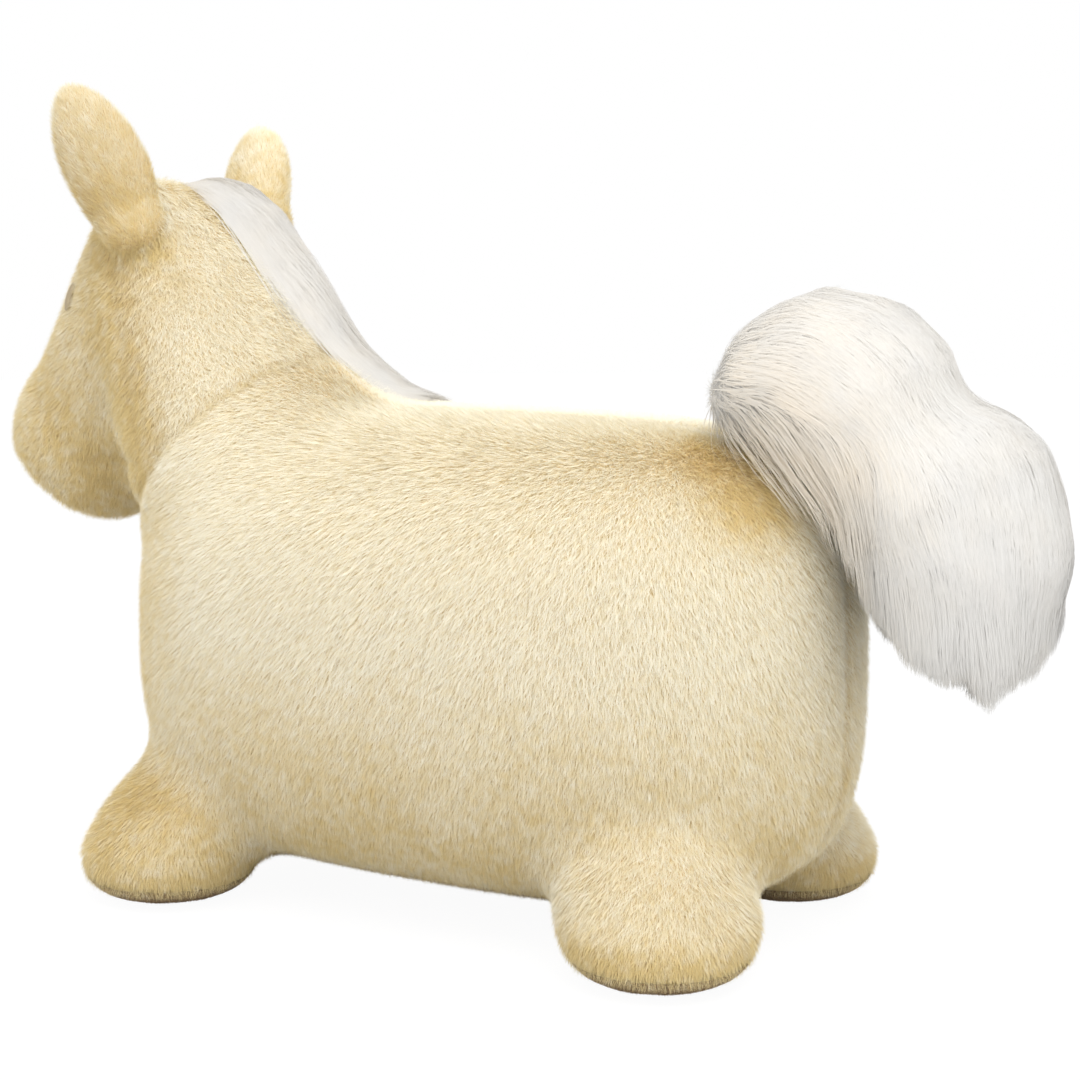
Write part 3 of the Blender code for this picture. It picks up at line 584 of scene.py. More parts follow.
def make_hair_tree():
    """Faux fur: hairs scattered over a backing, combed along it and lifted off it."""
    tree = bpy.data.node_groups.new("combed_pile", "GeometryNodeTree")
    add_port(tree, "Backing", "Geometry")
    add_port(tree, "Hairs per m2", "Float", HAIRS_PER_M2)
    add_port(tree, "Length", "Float", HAIR_LENGTH)
    add_port(tree, "Width", "Float", HAIR_WIDTH)
    add_port(tree, "Lift", "Float", 0.52)
    add_port(tree, "Swirl", "Float", 0.65)
    add_port(tree, "Swirl scale", "Float", 45.0)
    add_port(tree, "Tangle", "Float", 0.50)
    add_port(tree, "Roll", "Float", 0.6)
    add_port(tree, "Seed", "Int")
    add_port(tree, "Backing cloth", "Material")
    add_port(tree, "Hair", "Material")
    add_port(tree, "Cover", "Geometry", way="OUTPUT")
    given = tree.nodes.new("NodeGroupInput").outputs

    def make(kind, inputs=None, **settings):
        return add_node(tree, "GeometryNode" + kind, inputs, **settings)

    def scaled(vector, size):
        return vector_maths(tree, "SCALE", vector, scale=size)

    def attribute(name, kind="FLOAT"):
        made = make("InputNamedAttribute", {"Name": name}, data_type=kind)
        return next(s for s in made.outputs if s.enabled and s.name == "Attribute")

    def stored(geometry, name, value, kind="FLOAT"):
        inputs = {"Geometry": geometry, "Name": name, "Value": value}
        return make("StoreNamedAttribute", inputs, data_type=kind, domain="POINT")

    def random_value(kind, limits, offset):
        inputs = {**limits, "Seed": maths(tree, "ADD", given["Seed"], float(offset))}
        return add_node(tree, "FunctionNodeRandomValue", inputs, data_type=kind).outputs

    def random_number(low, high, offset):
        return random_value("FLOAT", {"Min_001": low, "Max_001": high}, offset)[1]

    def random_way(size, offset):
        way = random_value("FLOAT_VECTOR", {"Min": (-1, -1, -1), "Max": (1, 1, 1)}, offset)[0]
        return scaled(way, size)

    density = maths(tree, "MULTIPLY", given["Hairs per m2"], attribute("thick"))
    inputs = {"Mesh": given["Backing"], "Density": density, "Seed": given["Seed"]}
    scatter = make("DistributePointsOnFaces", inputs).outputs
    normal = scatter["Normal"]
    inputs = {"Scale": given["Swirl scale"], "Detail": 2.0, "Roughness": 0.5}
    swirl = add_node(tree, "ShaderNodeTexNoise", inputs).outputs["Color"]
    swirl = scaled(vector_maths(tree, "SUBTRACT", swirl, (0.5, 0.5, 0.5)), given["Swirl"])
    flow = vector_maths(tree, "ADD", attribute("comb", "FLOAT_VECTOR"), swirl)
    flow = vector_maths(tree, "ADD", flow, random_way(given["Tangle"], 1))
    rising = vector_maths(tree, "DOT_PRODUCT", flow, normal)
    flat = vector_maths(tree, "SUBTRACT", flow, scaled(normal, rising))
    flat = vector_maths(tree, "NORMALIZE", flat)
    lift = maths(tree, "MULTIPLY", given["Lift"], random_number(0.7, 1.3, 2))
    upright = scaled(normal, maths(tree, "SINE", lift))
    way = vector_maths(tree, "ADD", upright, scaled(flat, maths(tree, "COSINE", lift)))
    facing = vector_maths(tree, "ADD", normal, random_way(given["Roll"], 3))
    axes = {"primary_axis": "Y", "secondary_axis": "Z"}
    turn = add_node(tree, "FunctionNodeAxesToRotation", {0: way, 1: facing}, **axes)

    blade = make("MeshGrid", {"Size X": 1.0, "Size Y": 1.0, "Vertices X": 2, "Vertices Y": 2})
    place = add_node(tree, "ShaderNodeSeparateXYZ", {0: make("InputPosition")}).outputs
    along = maths(tree, "ADD", place[1], 0.5)
    slim = maths(tree, "MULTIPLY", place[0], maths(tree, "SUBTRACT", 1.0, along))
    pointed = add_node(tree, "ShaderNodeCombineXYZ", {0: slim, 1: along, 2: 0.0})
    shaped = make("SetPosition", {"Geometry": stored(blade, "along", along), "Position": pointed})
    hair = make("MergeByDistance", {"Geometry": shaped, "Distance": 0.001})

    toned = stored(scatter["Points"], "tone", random_number(0, 1, 4))
    faced = stored(toned, "lie", normal, "FLOAT_VECTOR")
    length = maths(tree, "MULTIPLY", given["Length"], attribute("pile"))
    length = maths(tree, "MULTIPLY", length, random_number(0.7, 1.12, 5))
    width = maths(tree, "MULTIPLY", given["Width"], random_number(0.6, 1.3, 6))
    size = add_node(tree, "ShaderNodeCombineXYZ", {0: width, 1: length, 2: length})
    inputs = {"Points": faced, "Instance": hair, "Rotation": turn, "Scale": size}
    real = make("RealizeInstances", {"Geometry": make("InstanceOnPoints", inputs)})
    bent = make("InputNormal").outputs[0]
    lie = attribute("lie", "FLOAT_VECTOR")
    side = maths(tree, "SIGN", vector_maths(tree, "DOT_PRODUCT", bent, lie))
    own = scaled(scaled(bent, side), 0.3)
    shown = vector_maths(tree, "NORMALIZE", vector_maths(tree, "ADD", lie, own))
    lit = make("SetMeshNormal", {"Mesh": real}, mode="FREE", domain="POINT")
    tree.links.new(shown, next(s for s in lit.inputs if s.type == "VECTOR" and s.enabled))
    pile = make("SetMaterial", {"Geometry": lit, "Material": given["Hair"]})
    cloth = make("SetMaterial", {"Geometry": given["Backing"], "Material": given["Backing cloth"]})
    both = make("JoinGeometry")
    for part in (cloth, pile):
        tree.links.new(part.outputs[0], both.inputs[0])
    add_node(tree, "NodeGroupOutput", {0: both})
    return tree


def furred(name, backing, seed, cloth, hair, **settings):
    """A backing with hair planted on it, as one plain mesh."""
    for attribute in ("pile", "thick"):
        if attribute not in backing.attributes:
            store(backing, **{attribute: np.ones(len(backing.vertices))})
    backing.shade_smooth()
    obj = add_object(name, backing)
    grow = obj.modifiers.new("fur", "NODES")
    grow.node_group = HAIR_TREE
    named = {item.name: item.identifier for item in HAIR_TREE.interface.items_tree}
    grow[named["Seed"]] = seed
    grow[named["Backing cloth"]] = cloth
    grow[named["Hair"]] = hair
    for key, value in settings.items():
        grow[named[key.replace("_", " ").capitalize()]] = value
    mesh = settled(obj)
    for attribute in ("comb", "pile", "thick", "lie"):
        if attribute in mesh.attributes:
            mesh.attributes.remove(mesh.attributes[attribute])
    mesh.name = name
    return add_object(name, mesh)


def object_texture(tree, kind, inputs, **settings):
    """A texture's value at each place on an object."""
    inputs["Vector"] = add_node(tree, "ShaderNodeTexCoord").outputs["Object"]
    return add_node(tree, "ShaderNodeTex" + kind, inputs, **settings).outputs["Fac"]


def make_hair_colour():
    """A shader group: the colour of a hair from its root to its tip, hair by hair, mixed towards a tint that
    is partly painted shade and painted light.
    """
    group = bpy.data.node_groups.new("hair_colour", "ShaderNodeTree")
    for name in ("Root", "Tip", "Shade_and_light_tint"):
        add_port(group, name, "Color")
    add_port(group, "Root reach", "Float", 0.6)
    add_port(group, "Variation", "Float", 0.15)
    add_port(group, "Painted_clump_shade", "Float", 0.5)
    add_port(group, "Clump scale", "Float", 170.0)
    add_port(group, "Color", "Color", way="OUTPUT")
    given = group.nodes.new("NodeGroupInput").outputs

    def attribute(name):
        return add_node(group, "ShaderNodeAttribute", attribute_name=name).outputs["Fac"]

    def mixed(share, first, second):
        inputs = {"Factor_Float": share, "A_Color": first, "B_Color": second}
        made = add_node(group, "ShaderNodeMix", inputs, data_type="RGBA")
        return next(s for s in made.outputs if s.identifier == "Result_Color")

    # The stored tint is golden fur or warm hair: partly its own colour, partly painted shade and painted
    # light.
    gold = attribute("gold")
    # Painted shade and light in clumps: a noise pushes hairs towards the tint, giving darker gaps in the
    # cream fur and lighter streaks in the white.
    clump_shade = object_texture(group, "Noise", {"Scale": given["Clump scale"], "Detail": 2.0})
    clump_shade = maths(group, "SUBTRACT", clump_shade, 0.46)
    clump_shade = maths(group, "MULTIPLY", clump_shade, maths(group, "MULTIPLY_ADD", gold, 2.0, 0.7))
    gold = maths(group, "MULTIPLY_ADD", clump_shade, given["Painted_clump_shade"], gold)
    inputs = {"Value": attribute("along"), "From Max": given["Root reach"]}
    reach = add_node(group, "ShaderNodeMapRange", inputs, interpolation_type="SMOOTHSTEP")
    colour = mixed(gold, mixed(reach, given["Root"], given["Tip"]), given["Shade_and_light_tint"])
    spread = maths(group, "SUBTRACT", attribute("tone"), 0.5)
    spread = maths(group, "MULTIPLY_ADD", spread, given["Variation"], 1.0)
    add_node(group, "NodeGroupOutput", {0: vector_maths(group, "SCALE", colour, scale=spread)})
    return group


def set_inputs(node, values):
    for name, value in values.items():
        node.inputs[name].default_value = value


def new_material(name, roughness):
    made = bpy.data.materials.new(name)
    made.use_nodes = True
    shader = made.node_tree.nodes["Principled BSDF"]
    set_inputs(shader, {"Roughness": roughness})
    return made, made.node_tree, shader


def hair_material(
    name, root, tip, parted, reach=0.6, variation=0.10, sheen=0.15, clumping=0.9, scale=170.0, clear=0.0
):
    made, tree, shader = new_material(name, 0.7)
    group = add_node(tree, "ShaderNodeGroup", node_tree=HAIR_COLOUR)
    set_inputs(group, {"Root": (*root, 1.0), "Tip": (*tip, 1.0), "Shade_and_light_tint": (*parted, 1.0)})
    set_inputs(group, {"Root reach": reach, "Variation": variation})
    set_inputs(group, {"Painted_clump_shade": clumping, "Clump scale": scale})
    tree.links.new(group.outputs[0], shader.inputs["Base Color"])
    passed = add_node(tree, "ShaderNodeBsdfTranslucent", {0: group})
    both = add_node(tree, "ShaderNodeMixShader", {0: HAIR_TRANSLUCENCY, 1: shader, 2: passed})
    if clear:
        shadow = add_node(tree, "ShaderNodeLightPath").outputs["Is Shadow Ray"]
        clear = maths(tree, "MULTIPLY", shadow, clear)
        seen_through = add_node(tree, "ShaderNodeBsdfTransparent")
        both = add_node(tree, "ShaderNodeMixShader", {0: clear, 1: both, 2: seen_through})
    tree.links.new(both.outputs[0], tree.nodes["Material Output"].inputs[0])
    set_inputs(shader, {"Sheen Weight": sheen, "Sheen Roughness": 0.5, "Specular IOR Level": 0.25})
    return made


def coloured(tree, shader, value, low, high, ends=(0.0, 1.0)):
    """A surface that runs from one colour to another with a texture's value."""
    ramp = add_node(tree, "ShaderNodeValToRGB", {0: value})
    for element, colour, end in zip(ramp.color_ramp.elements, (low, high), ends):
        element.color = (*colour, 1.0)
        element.position = end
    tree.links.new(ramp.outputs[0], shader.inputs["Base Color"])


def embossed(tree, shader, value, depth):
    bump = add_node(tree, "ShaderNodeBump", {"Height": value, "Distance": depth})
    tree.links.new(bump.outputs[0], shader.inputs["Normal"])


def cloth_material(name, low, high, scale=900.0):
    """The knitted backing, seen only where the pile parts."""
    made, tree, shader = new_material(name, 0.9)
    fuzz = object_texture(tree, "Noise", {"Scale": scale, "Detail": 3.0})
    coloured(tree, shader, fuzz, low, high, (0.35, 0.65))
    embossed(tree, shader, fuzz, 0.001)
    return made


HAIR_TREE = make_hair_tree()
HAIR_COLOUR = make_hair_colour()
# Each third colour is the tint of painted light: golden painted shade for the cream fur, a lighter warm
# painted highlight for the white hair.
CREAM_HAIR = hair_material("cream_hair", (0.89, 0.80, 0.57), (0.975, 0.95, 0.845), (0.84, 0.715, 0.40))
CREAM_BACKING = cloth_material("cream_backing", (0.66, 0.50, 0.27), (0.82, 0.68, 0.42))
# The short nap's brown is its own colour darkened by painted shade under the belly and the feet.
SHADED_NAP_HAIR = hair_material("shaded_short_nap", (0.34, 0.22, 0.11), (0.48, 0.34, 0.19), (0.38, 0.26, 0.13))
SHADED_NAP_BACKING = cloth_material("shaded_nap_backing", (0.22, 0.15, 0.08), (0.34, 0.24, 0.14))
WHITE_HAIR = hair_material(
    "white_hair",
    (0.68, 0.662, 0.635),
    (0.69, 0.68, 0.66),
    (0.85, 0.78, 0.67),
    reach=0.20,
    variation=0.06,
    sheen=0.1,
    clumping=0.4,
    scale=40.0,
    clear=0.87,
)
WHITE_BACKING = cloth_material("white_backing", (0.90, 0.87, 0.84), (0.96, 0.95, 0.93))


def woven_material(name, low, high, rib):
    """Tape: fine ribs across it, worn uneven by a little noise."""
    made, tree, shader = new_material(name, 0.8)
    ribs = object_texture(tree, "Wave", {"Scale": rib, "Distortion": 1.5}, bands_direction="Y")
    coloured(tree, shader, ribs, low, high)
    embossed(tree, shader, ribs, 0.0003)
    return made


def smooth_material(name, low, high, roughness, metallic=0.0, passing=0.0):
    """Moulded or painted: its colour and its shine drift a little over the surface."""
    made, tree, shader = new_material(name, roughness)
    drift = object_texture(tree, "Noise", {"Scale": 60.0, "Detail": 4.0})
    coloured(tree, shader, drift, low, high)
    shine = maths(tree, "MULTIPLY_ADD", drift, 0.2, roughness - 0.1)
    tree.links.new(shine, shader.inputs["Roughness"])
    set_inputs(shader, {"Metallic": metallic, "Transmission Weight": passing})
    return made


def thread_material():
    made, tree, shader = new_material("eye_thread", 0.45)
    fuzz = object_texture(tree, "Noise", {"Scale": 1500.0, "Detail": 2.0})
    coloured(tree, shader, fuzz, (0.44, 0.35, 0.22), (0.60, 0.50, 0.34))
    return made


EYE_THREAD = thread_material()


def finish_frame():
    """Materials of the parts that keep their own shape: the zip, the bladder and what lies inside."""
    finishes = {
        "zip_tape": woven_material("woven_tape", (0.50, 0.42, 0.27), (0.68, 0.60, 0.43), 900.0),
        "zip_plastic": smooth_material("moulded_teeth", (0.70, 0.63, 0.48), (0.80, 0.74, 0.60), 0.35),
        "painted_zinc": smooth_material("painted_zinc", (0.62, 0.57, 0.46), (0.74, 0.69, 0.58), 0.30, 0.4),
        "bladder_vinyl": smooth_material("soft_vinyl", (0.66, 0.63, 0.54), (0.78, 0.75, 0.67), 0.35, 0, 0.3),
        "polyester_stuffing": cloth_material("loose_stuffing", (0.78, 0.78, 0.76), (0.92, 0.92, 0.90), 200.0),
    }
    for node in frame["nodes"].values():
        for slot in node.material_slots:
            if slot.material and slot.material.name.split(".")[0] in finishes:
                slot.material = finishes[slot.material.name.split(".")[0]]


def combed(points, normals, on_leg):
    """Which way the pile lies: down the flanks, leaning forwards at the shoulder and back at the rump."""
    x, y, z = points.T
    y = y - TO_ORIGIN.y
    lean = np.interp(y, (-0.20, -0.12, 0.00, 0.10, 0.19, 0.24), (-0.95, -0.85, -0.5, -0.2, 0.2, 0.35))
    height = np.clip((z - 0.05) / 0.17, 0, 1) * (1 - on_leg)
    body = np.stack([0.5 * np.sign(x) * np.clip(normals[:, 2], 0, 1), lean * height, -np.ones_like(z)], 1)
    neck = np.tile((0.0, 0.30, -1.0), (len(points), 1))
    face = np.tile((0.0, -0.30, -1.0), (len(points), 1))
    on_neck = np.clip(distance_to_plane(points, SEAM_COLLAR) / 0.02 + 0.5, 0, 1)[:, None]
    on_face = np.clip(distance_to_plane(points, SEAM_CHEEK) / 0.02 + 0.5, 0, 1)[:, None] * on_neck
    return body * (1 - on_neck) + neck * (on_neck - on_face) + face * on_face


def cover(piece, node, body, bend=None):
    """A piece that shows a node, which is hidden: it rides the body, or with a bend it stays where it is."""
    if bend is None:
        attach(piece, body)
    else:
        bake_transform(piece)
    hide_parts(node)


def make_leg_forms():
    forms = {}
    for end, foot in (("front", FRONT_FOOT), ("rear", REAR_FOOT)):
        for side, sign in (("left", 1), ("right", -1)):
            name = f"{end}_{side}"
            forms[name] = plump(joined(name, [leg(foot, sign)]), COVER_VOXEL, 3)
    return forms


def flared_skin(forms, body_tree, leg_trees, ear_trees):
    """One skin round every form, with the legs and the ears flared into the body."""
    skin_form = plump(together("cover", forms), COVER_VOXEL, 3)
    points, normals = surface_of(skin_form)
    over_body = height_over(body_tree, points)
    meeting = np.zeros(len(points))
    for trees, reach in ((leg_trees, LEG_FLARE), (ear_trees, EAR_FLARE)):
        over_limb = heights_over(trees, points).min(0)
        meeting += np.exp(-((over_limb / reach) ** 2) - (over_body / reach) ** 2)
    edges = rows_of(skin_form.edges, "vertices", 2, np.int32)
    flared = relaxed(points, edges, 0.6 * meeting, FLARE_ROUNDS)
    outward = np.clip(((flared - points) * normals).sum(1), 0, None)
    reshape(skin_form, points + normals * outward[:, None])
    return skin_form


def mark_skin(skin_form, over_body, over_leg, over_ear):
    """Gives the skin its nap and its golden patches, which are partly painted shade, and sinks it under the
    pile and in at the seams.
    """
    points, normals = surface_of(skin_form)
    on_leg = np.clip((over_body - over_leg) / 0.03 + 0.5, 0, 1)
    collar = distance_to_plane(points, SEAM_COLLAR)
    cheek = distance_to_plane(points, SEAM_CHEEK)
    muzzle = distance_to_plane(points, SEAM_MUZZLE)
    jaw = distance_to_plane(points, SEAM_JAW)
    belly = distance_to_plane(points, SEAM_BELLY)
    x, y, z = points.T
    root = x - np.interp(y - TO_ORIGIN.y, *zip(*MANE_ROOT))
    on_head = (collar > 0) & (cheek > 0)
    on_crest = (distance_to_plane(points, MANE_LOW) < 0) & (y < -0.05) & (normals[:, 2] > 0)
    ear_fold = hollowed(over_ear, 0.006)
    leg_fold = hollowed(over_leg - over_body, 0.010) * (z < 0.15)
    draws = (
        0.65 * hollowed(collar) * (belly < 0),
        0.35 * hollowed(cheek) * (collar > 0),
        0.25 * hollowed(muzzle) * on_head,
        0.4 * hollowed(jaw) * on_head * (muzzle < 0),
        0.3 * hollowed(np.abs(x) - FOREHEAD_HALF_WIDTH) * on_head * (jaw < 0) * (muzzle < 0),
        0.8 * hollowed(x) * (y > 0.12) * (belly < 0),
        0.3 * hollowed(root) * on_crest,
        0.3 * leg_fold,
        0.15 * ear_fold,
    )
    draw = np.max(draws, 0)
    patches = mottle(points, 26.0)
    low_front = np.clip((EAR_PIVOT["left"].z + 0.004 - z) / 0.012, 0, 1)
    # Golden fur, partly its own colour and partly painted shade: the tail root, jaw, head, lower flank,
    # chest, front legs and the fur near the floor turn golden where they stand in shade, and so do the
    # crest's furrow, the creases at the ears and legs, and lines along the seams.
    gold_and_painted_shade_regions = (
        1.1 * near_spot(points, Vector((0.038, 0.174, 0.272)), 0.025),
        1.1 * near_spot(points, Vector((0.052, 0.199, 0.254)), 0.024),
        1.0 * near_spot(points, Vector((0.052, -0.232, 0.238)), 0.030),
        0.60 * on_head,
        0.9 * hollowed(np.clip(cheek, 0, None), 0.050) * on_head,
        0.75 * hollowed(np.clip(-cheek, 0, None), 0.024) * (cheek <= 0) * (collar > 0),
        0.25 * near_spot(points, Vector((0.075, -0.170, 0.362)), 0.030),
        0.62 * np.clip((0.17 - z) / 0.12, 0, 1) * (1 - on_leg),
        0.60 * np.clip((-0.12 - y) / 0.06, 0, 1) * np.clip((0.26 - z) / 0.04, 0, 1),
        0.18 * on_leg + 0.50 * on_leg * (y < 0),
        0.6 * hollowed(root, 0.008) * on_crest,
        1.3 * np.clip((0.055 - z) / 0.040, 0, 1) ** 1.5,
        0.8 * ear_fold * low_front,
        0.4 * leg_fold,
        0.25 * draw * (y < 0.12),
        0.5 * hollowed(collar, 0.0025) * (belly < 0),
    )
    gold = np.clip(np.max(gold_and_painted_shade_regions, 0) * (1 + 0.35 * patches) + 0.04 * patches, 0, 1)
    close_to_floor = np.clip((z - 0.001) / 0.012, 0.35, 1)
    eyes = near_spot(points, EYE_PLACE, 0.010)
    pile = (1 - 0.30 * draw) * (1 - 0.2 * eyes) * (1 + 0.08 * patches) * close_to_floor
    thick = 1 - 0.35 * (eyes > 0.85)
    store(skin_form, comb=combed(points, normals, on_leg), pile=pile, gold=gold, thick=thick)
    reshape(skin_form, points - normals * (PILE_DEPTH + SEAM_DEPTH * draw)[:, None])


def make_cover(body_form, leg_forms, ear_forms):
    """The sewn cover, panel by panel."""
    body_tree = tree_of(body_form)
    leg_trees = [tree_of(form) for form in leg_forms.values()]
    ear_trees = [tree_of(form) for form in ear_forms.values()]
    forms = [body_form, *leg_forms.values(), *ear_forms.values()]
    skin_form = flared_skin(forms, body_tree, leg_trees, ear_trees)
    points = surface_of(skin_form)[0]
    over_body = height_over(body_tree, points)
    over_legs, over_ears = heights_over(leg_trees, points), heights_over(ear_trees, points)
    over_leg, over_ear = over_legs.min(0), over_ears.min(0)
    mark_skin(skin_form, over_body, over_leg, over_ear)

    faces = np.array([list(face.vertices)[:3] for face in skin_form.polygons])
    is_leg = (over_leg < over_body)[faces].sum(1) >= 2
    leg_index = over_legs.argmin(0)[faces[:, 0]]
    hem = (Vector((0, 0, HEM_HEIGHT)) - TO_ORIGIN, Vector((0, 0, -1)))
    for number, name in enumerate(leg_forms):
        part = chosen(skin_form, is_leg & (leg_index == number))
        yield "leg_" + name, "", kept(part, [hem])
    is_ear = (over_ear < over_body)[faces].all(1)
    is_collar = is_ear & (over_body < EAR_COLLAR)[faces].any(1)
    for side, over_one in zip(ear_forms, over_ears):
        own_side = (over_one == over_ear)[faces[:, 0]]
        yield "ear_outer_" + side, "_root", chosen(skin_form, is_collar & own_side)
    rest = chosen(skin_form, ~is_leg & ~is_ear)
    for name, planes in panel_planes().items():
        panel = kept(rest, planes)
        if name.startswith("belly"):
            yield from around_zip(name, panel)
            continue
        if not name.startswith("flank"):
            yield name, "", panel
            continue
        yield name, "_shoulder", kept(panel, [FLANK_CUTS[0]])
        yield name, "_middle", kept(panel, [before(FLANK_CUTS[0]), FLANK_CUTS[1]])
        yield name, "_rump", kept(panel, [before(FLANK_CUTS[1])])


def around_zip(name, panel):
    """A belly panel in three parts that leave the zip's opening free."""
    sideways = Vector((1 if name.endswith("left") else -1, 0, 0))
    edge = sideways * ZIP_HALF_OPENING.x
    end = Vector((0, ZIP_HALF_OPENING.y, 0))
    yield name, "", kept(panel, [(edge, -sideways)])
    yield name, "_front", kept(panel, [(edge, sideways), (-end, REARWARD)])
    yield name, "_rear", kept(panel, [(edge, sideways), (end, -REARWARD)])


def panel_planes():
    """Each panel of the body cover, as the seam planes that it lies behind."""
    side = {"left": [before(SEAM_MIDDLE)], "right": [SEAM_MIDDLE]}
    edge = Vector((FOREHEAD_HALF_WIDTH, 0, 0))
    strip = {"left": (edge, Vector((1, 0, 0))), "right": (-edge, Vector((-1, 0, 0)))}
    head = [before(SEAM_COLLAR), before(SEAM_CHEEK), SEAM_MUZZLE]
    panels = {}
    for name in ("left", "right"):
        panels["flank_" + name] = side[name] + [SEAM_COLLAR, SEAM_BELLY]
        panels["belly_" + name] = side[name] + [before(SEAM_BELLY)]
        panels["neck_" + name] = side[name] + [before(SEAM_COLLAR), SEAM_CHEEK]
        panels["cheek_" + name] = head + [SEAM_JAW, before(strip[name])]
    panels["forehead"] = head + [SEAM_JAW, strip["left"], strip["right"]]
    panels["throat"] = head + [before(SEAM_JAW)]
    panels["muzzle"] = [before(SEAM_COLLAR), before(SEAM_MUZZLE)]
    return panels


def dress_body(body_form, leg_forms, ear_forms):
    for seed, (node, part, backing) in enumerate(make_cover(body_form, leg_forms, ear_forms)):
        name = f"{node}{part}_cover"
        if node.startswith("belly"):
            piece = furred(name, backing, seed, SHADED_NAP_BACKING, SHADED_NAP_HAIR, **BELLY_NAP)
            cover(piece, node, "hopper")
            continue
        tousled = {} if node.startswith(("flank", "leg")) else HEAD_FUR
        piece = furred(name, backing, seed, CREAM_BACKING, CREAM_HAIR, **tousled)
        if node.startswith("ear"):
            side = node.rsplit("_", 1)[1]
            start = EAR_PIVOT[side] + TO_ORIGIN
            bend = (start, start.lerp(EAR_TIP[side] + TO_ORIGIN, 0.35))
            cover(piece, node, "ear_" + side, bend)
            continue
        cover(piece, node, "hopper")


def dress_soles(leg_forms):
    """Flat pads of short nap, with their rims under the hem of the leg's fur."""
    for seed, (name, form) in enumerate(leg_forms.items()):
        pad = kept(form, [(Vector((0, 0, SOLE_THICKNESS)) - TO_ORIGIN, Vector((0, 0, 1)))])
        points, normals = surface_of(pad)
        sunk = points - normals * SOLE_SINK
        sunk[:, 2] = np.maximum(sunk[:, 2], SOLE_NAP["length"])
        reshape(pad, sunk)
        store(pad, comb=np.tile((0.0, 0.6, -0.3), (len(sunk), 1)), gold=np.zeros(len(sunk)))
        piece = furred(f"sole_{name}_pad", pad, 40 + seed, SHADED_NAP_BACKING, SHADED_NAP_HAIR, **SOLE_NAP)
        cover(piece, "sole_" + name, "hopper")


def dress_ears(ear_forms, body_tree):
    seed = 60
    for side, form in ear_forms.items():
        points, normals = surface_of(form)
        fold = hollowed(height_over(body_tree, points), 0.008)
        _, facing, upward = ear_axes(side).to_3x3().transposed()
        low = np.clip(1 - (points[:, 2] - EAR_PIVOT[side].z) / 0.075, 0, 1)
        # Painted shade: the ear turns golden in its crease against the head and towards its root.
        gold = np.clip(0.15 + 0.7 * fold + 0.5 * low + 0.3 * mottle(points, 40.0), 0, 1)
        store(form, comb=np.tile(np.array(upward), (len(points), 1)), pile=0.72 - 0.15 * fold, gold=gold)
        reshape(form, points - normals * (0.7 * PILE_DEPTH + 0.4 * SEAM_DEPTH * fold)[:, None])
        for layer, way in (("outer", -facing), ("inner", facing)):
            half = kept(form, [(EAR_PIVOT[side], way)])
            piece = furred(f"ear_{layer}_{side}_cover", half, seed, CREAM_BACKING, CREAM_HAIR)
            cover(piece, f"ear_{layer}_{side}", "ear_" + side)
            seed += 1


def unit(vectors):
    return vectors / np.maximum(np.linalg.norm(vectors, axis=-1, keepdims=True), 1e-9)


def settle_on(tree, points):
    """The nearest spots on a form, and which way each faces."""
    found = [tree.find_nearest(point)[:2] for point in points]
    return np.array([spot for spot, _ in found]), np.array([facing for _, facing in found])


def traced(tree, starts, flow, step, stations, free=None, rest=None):
    """Paths that follow a flow over a form. Past the end that free tells of, they hang from it.

    Hanging hair lies on the form that rest is the tree of.
    """
    place = starts
    loose = np.zeros(len(starts), bool)
    heading = None
    paths, facings = [], []
    for _ in range(stations):
        near, facing = settle_on(tree, place)
        if facings:
            facing = unit(0.5 * facing + 0.5 * facings[-1])
        near[loose] = kept_out(rest, place[loose], 0.004) if rest else place[loose]
        way = flow(near, facing)
        way -= facing * (way * facing).sum(1, keepdims=True)
        way = unit(way)
        heading = way if heading is None else unit(0.5 * heading + 0.5 * way)
        if free is not None:
            loose |= free(near, facing)
            down = unit(heading + np.array((0.0, 0.0, -0.3)))
            heading[loose] = down[loose]
        paths.append(near)
        facings.append(facing)
        place = near + heading * step[:, None]
    return np.stack(paths, 1), np.stack(facings, 1)


def trimmed(paths, facings, ends):
    """Paths cut where they first sink to the height where each is to end."""
    count, stations = paths.shape[:2]
    heights = paths[:, :, 2] - ends
    low = heights < 0
    after = np.where(low.any(1), low.argmax(1), stations - 1)
    before_it = np.maximum(after - 1, 0)
    each = np.arange(count)
    over, under = heights[each, before_it], heights[each, after]
    part = np.where(low.any(1), over / np.maximum(over - under, 1e-6), 1.0)
    last = before_it + np.clip(part, 0, 1)
    share = np.linspace(0, 1, stations)[None] * last[:, None]
    lower = np.minimum(share.astype(int), stations - 2)
    part = (share - lower)[:, :, None]
    each = each[:, None]
    cut = paths[each, lower] * (1 - part) + paths[each, lower + 1] * part
    return cut, unit(facings[each, lower] * (1 - part) + facings[each, lower + 1] * part)


def kept_out(tree, points, clearance):
    """Points moved out to that clearance over a form wherever they would be inside it."""
    for index, point in enumerate(points):
        near, normal, _, distance = tree.find_nearest(point)
        inside = (Vector(point) - near).dot(normal) < 0
        if inside or distance < clearance:
            points[index] = near + normal * clearance
    return points


def gathered(paths, locks, strength, rng):
    """Hairs drawn together towards their tips in locks."""
    leaders = rng.choice(len(paths), locks, replace=False)
    starts = paths[:, 2]
    away = np.linalg.norm(starts[:, None] - starts[leaders][None], axis=2)
    leader = leaders[away.argmin(1)]
    share = np.linspace(0, 1, paths.shape[1])[None, :, None] ** 1.7
    return paths + strength[:, None, None] * share * (paths[leader] - paths)


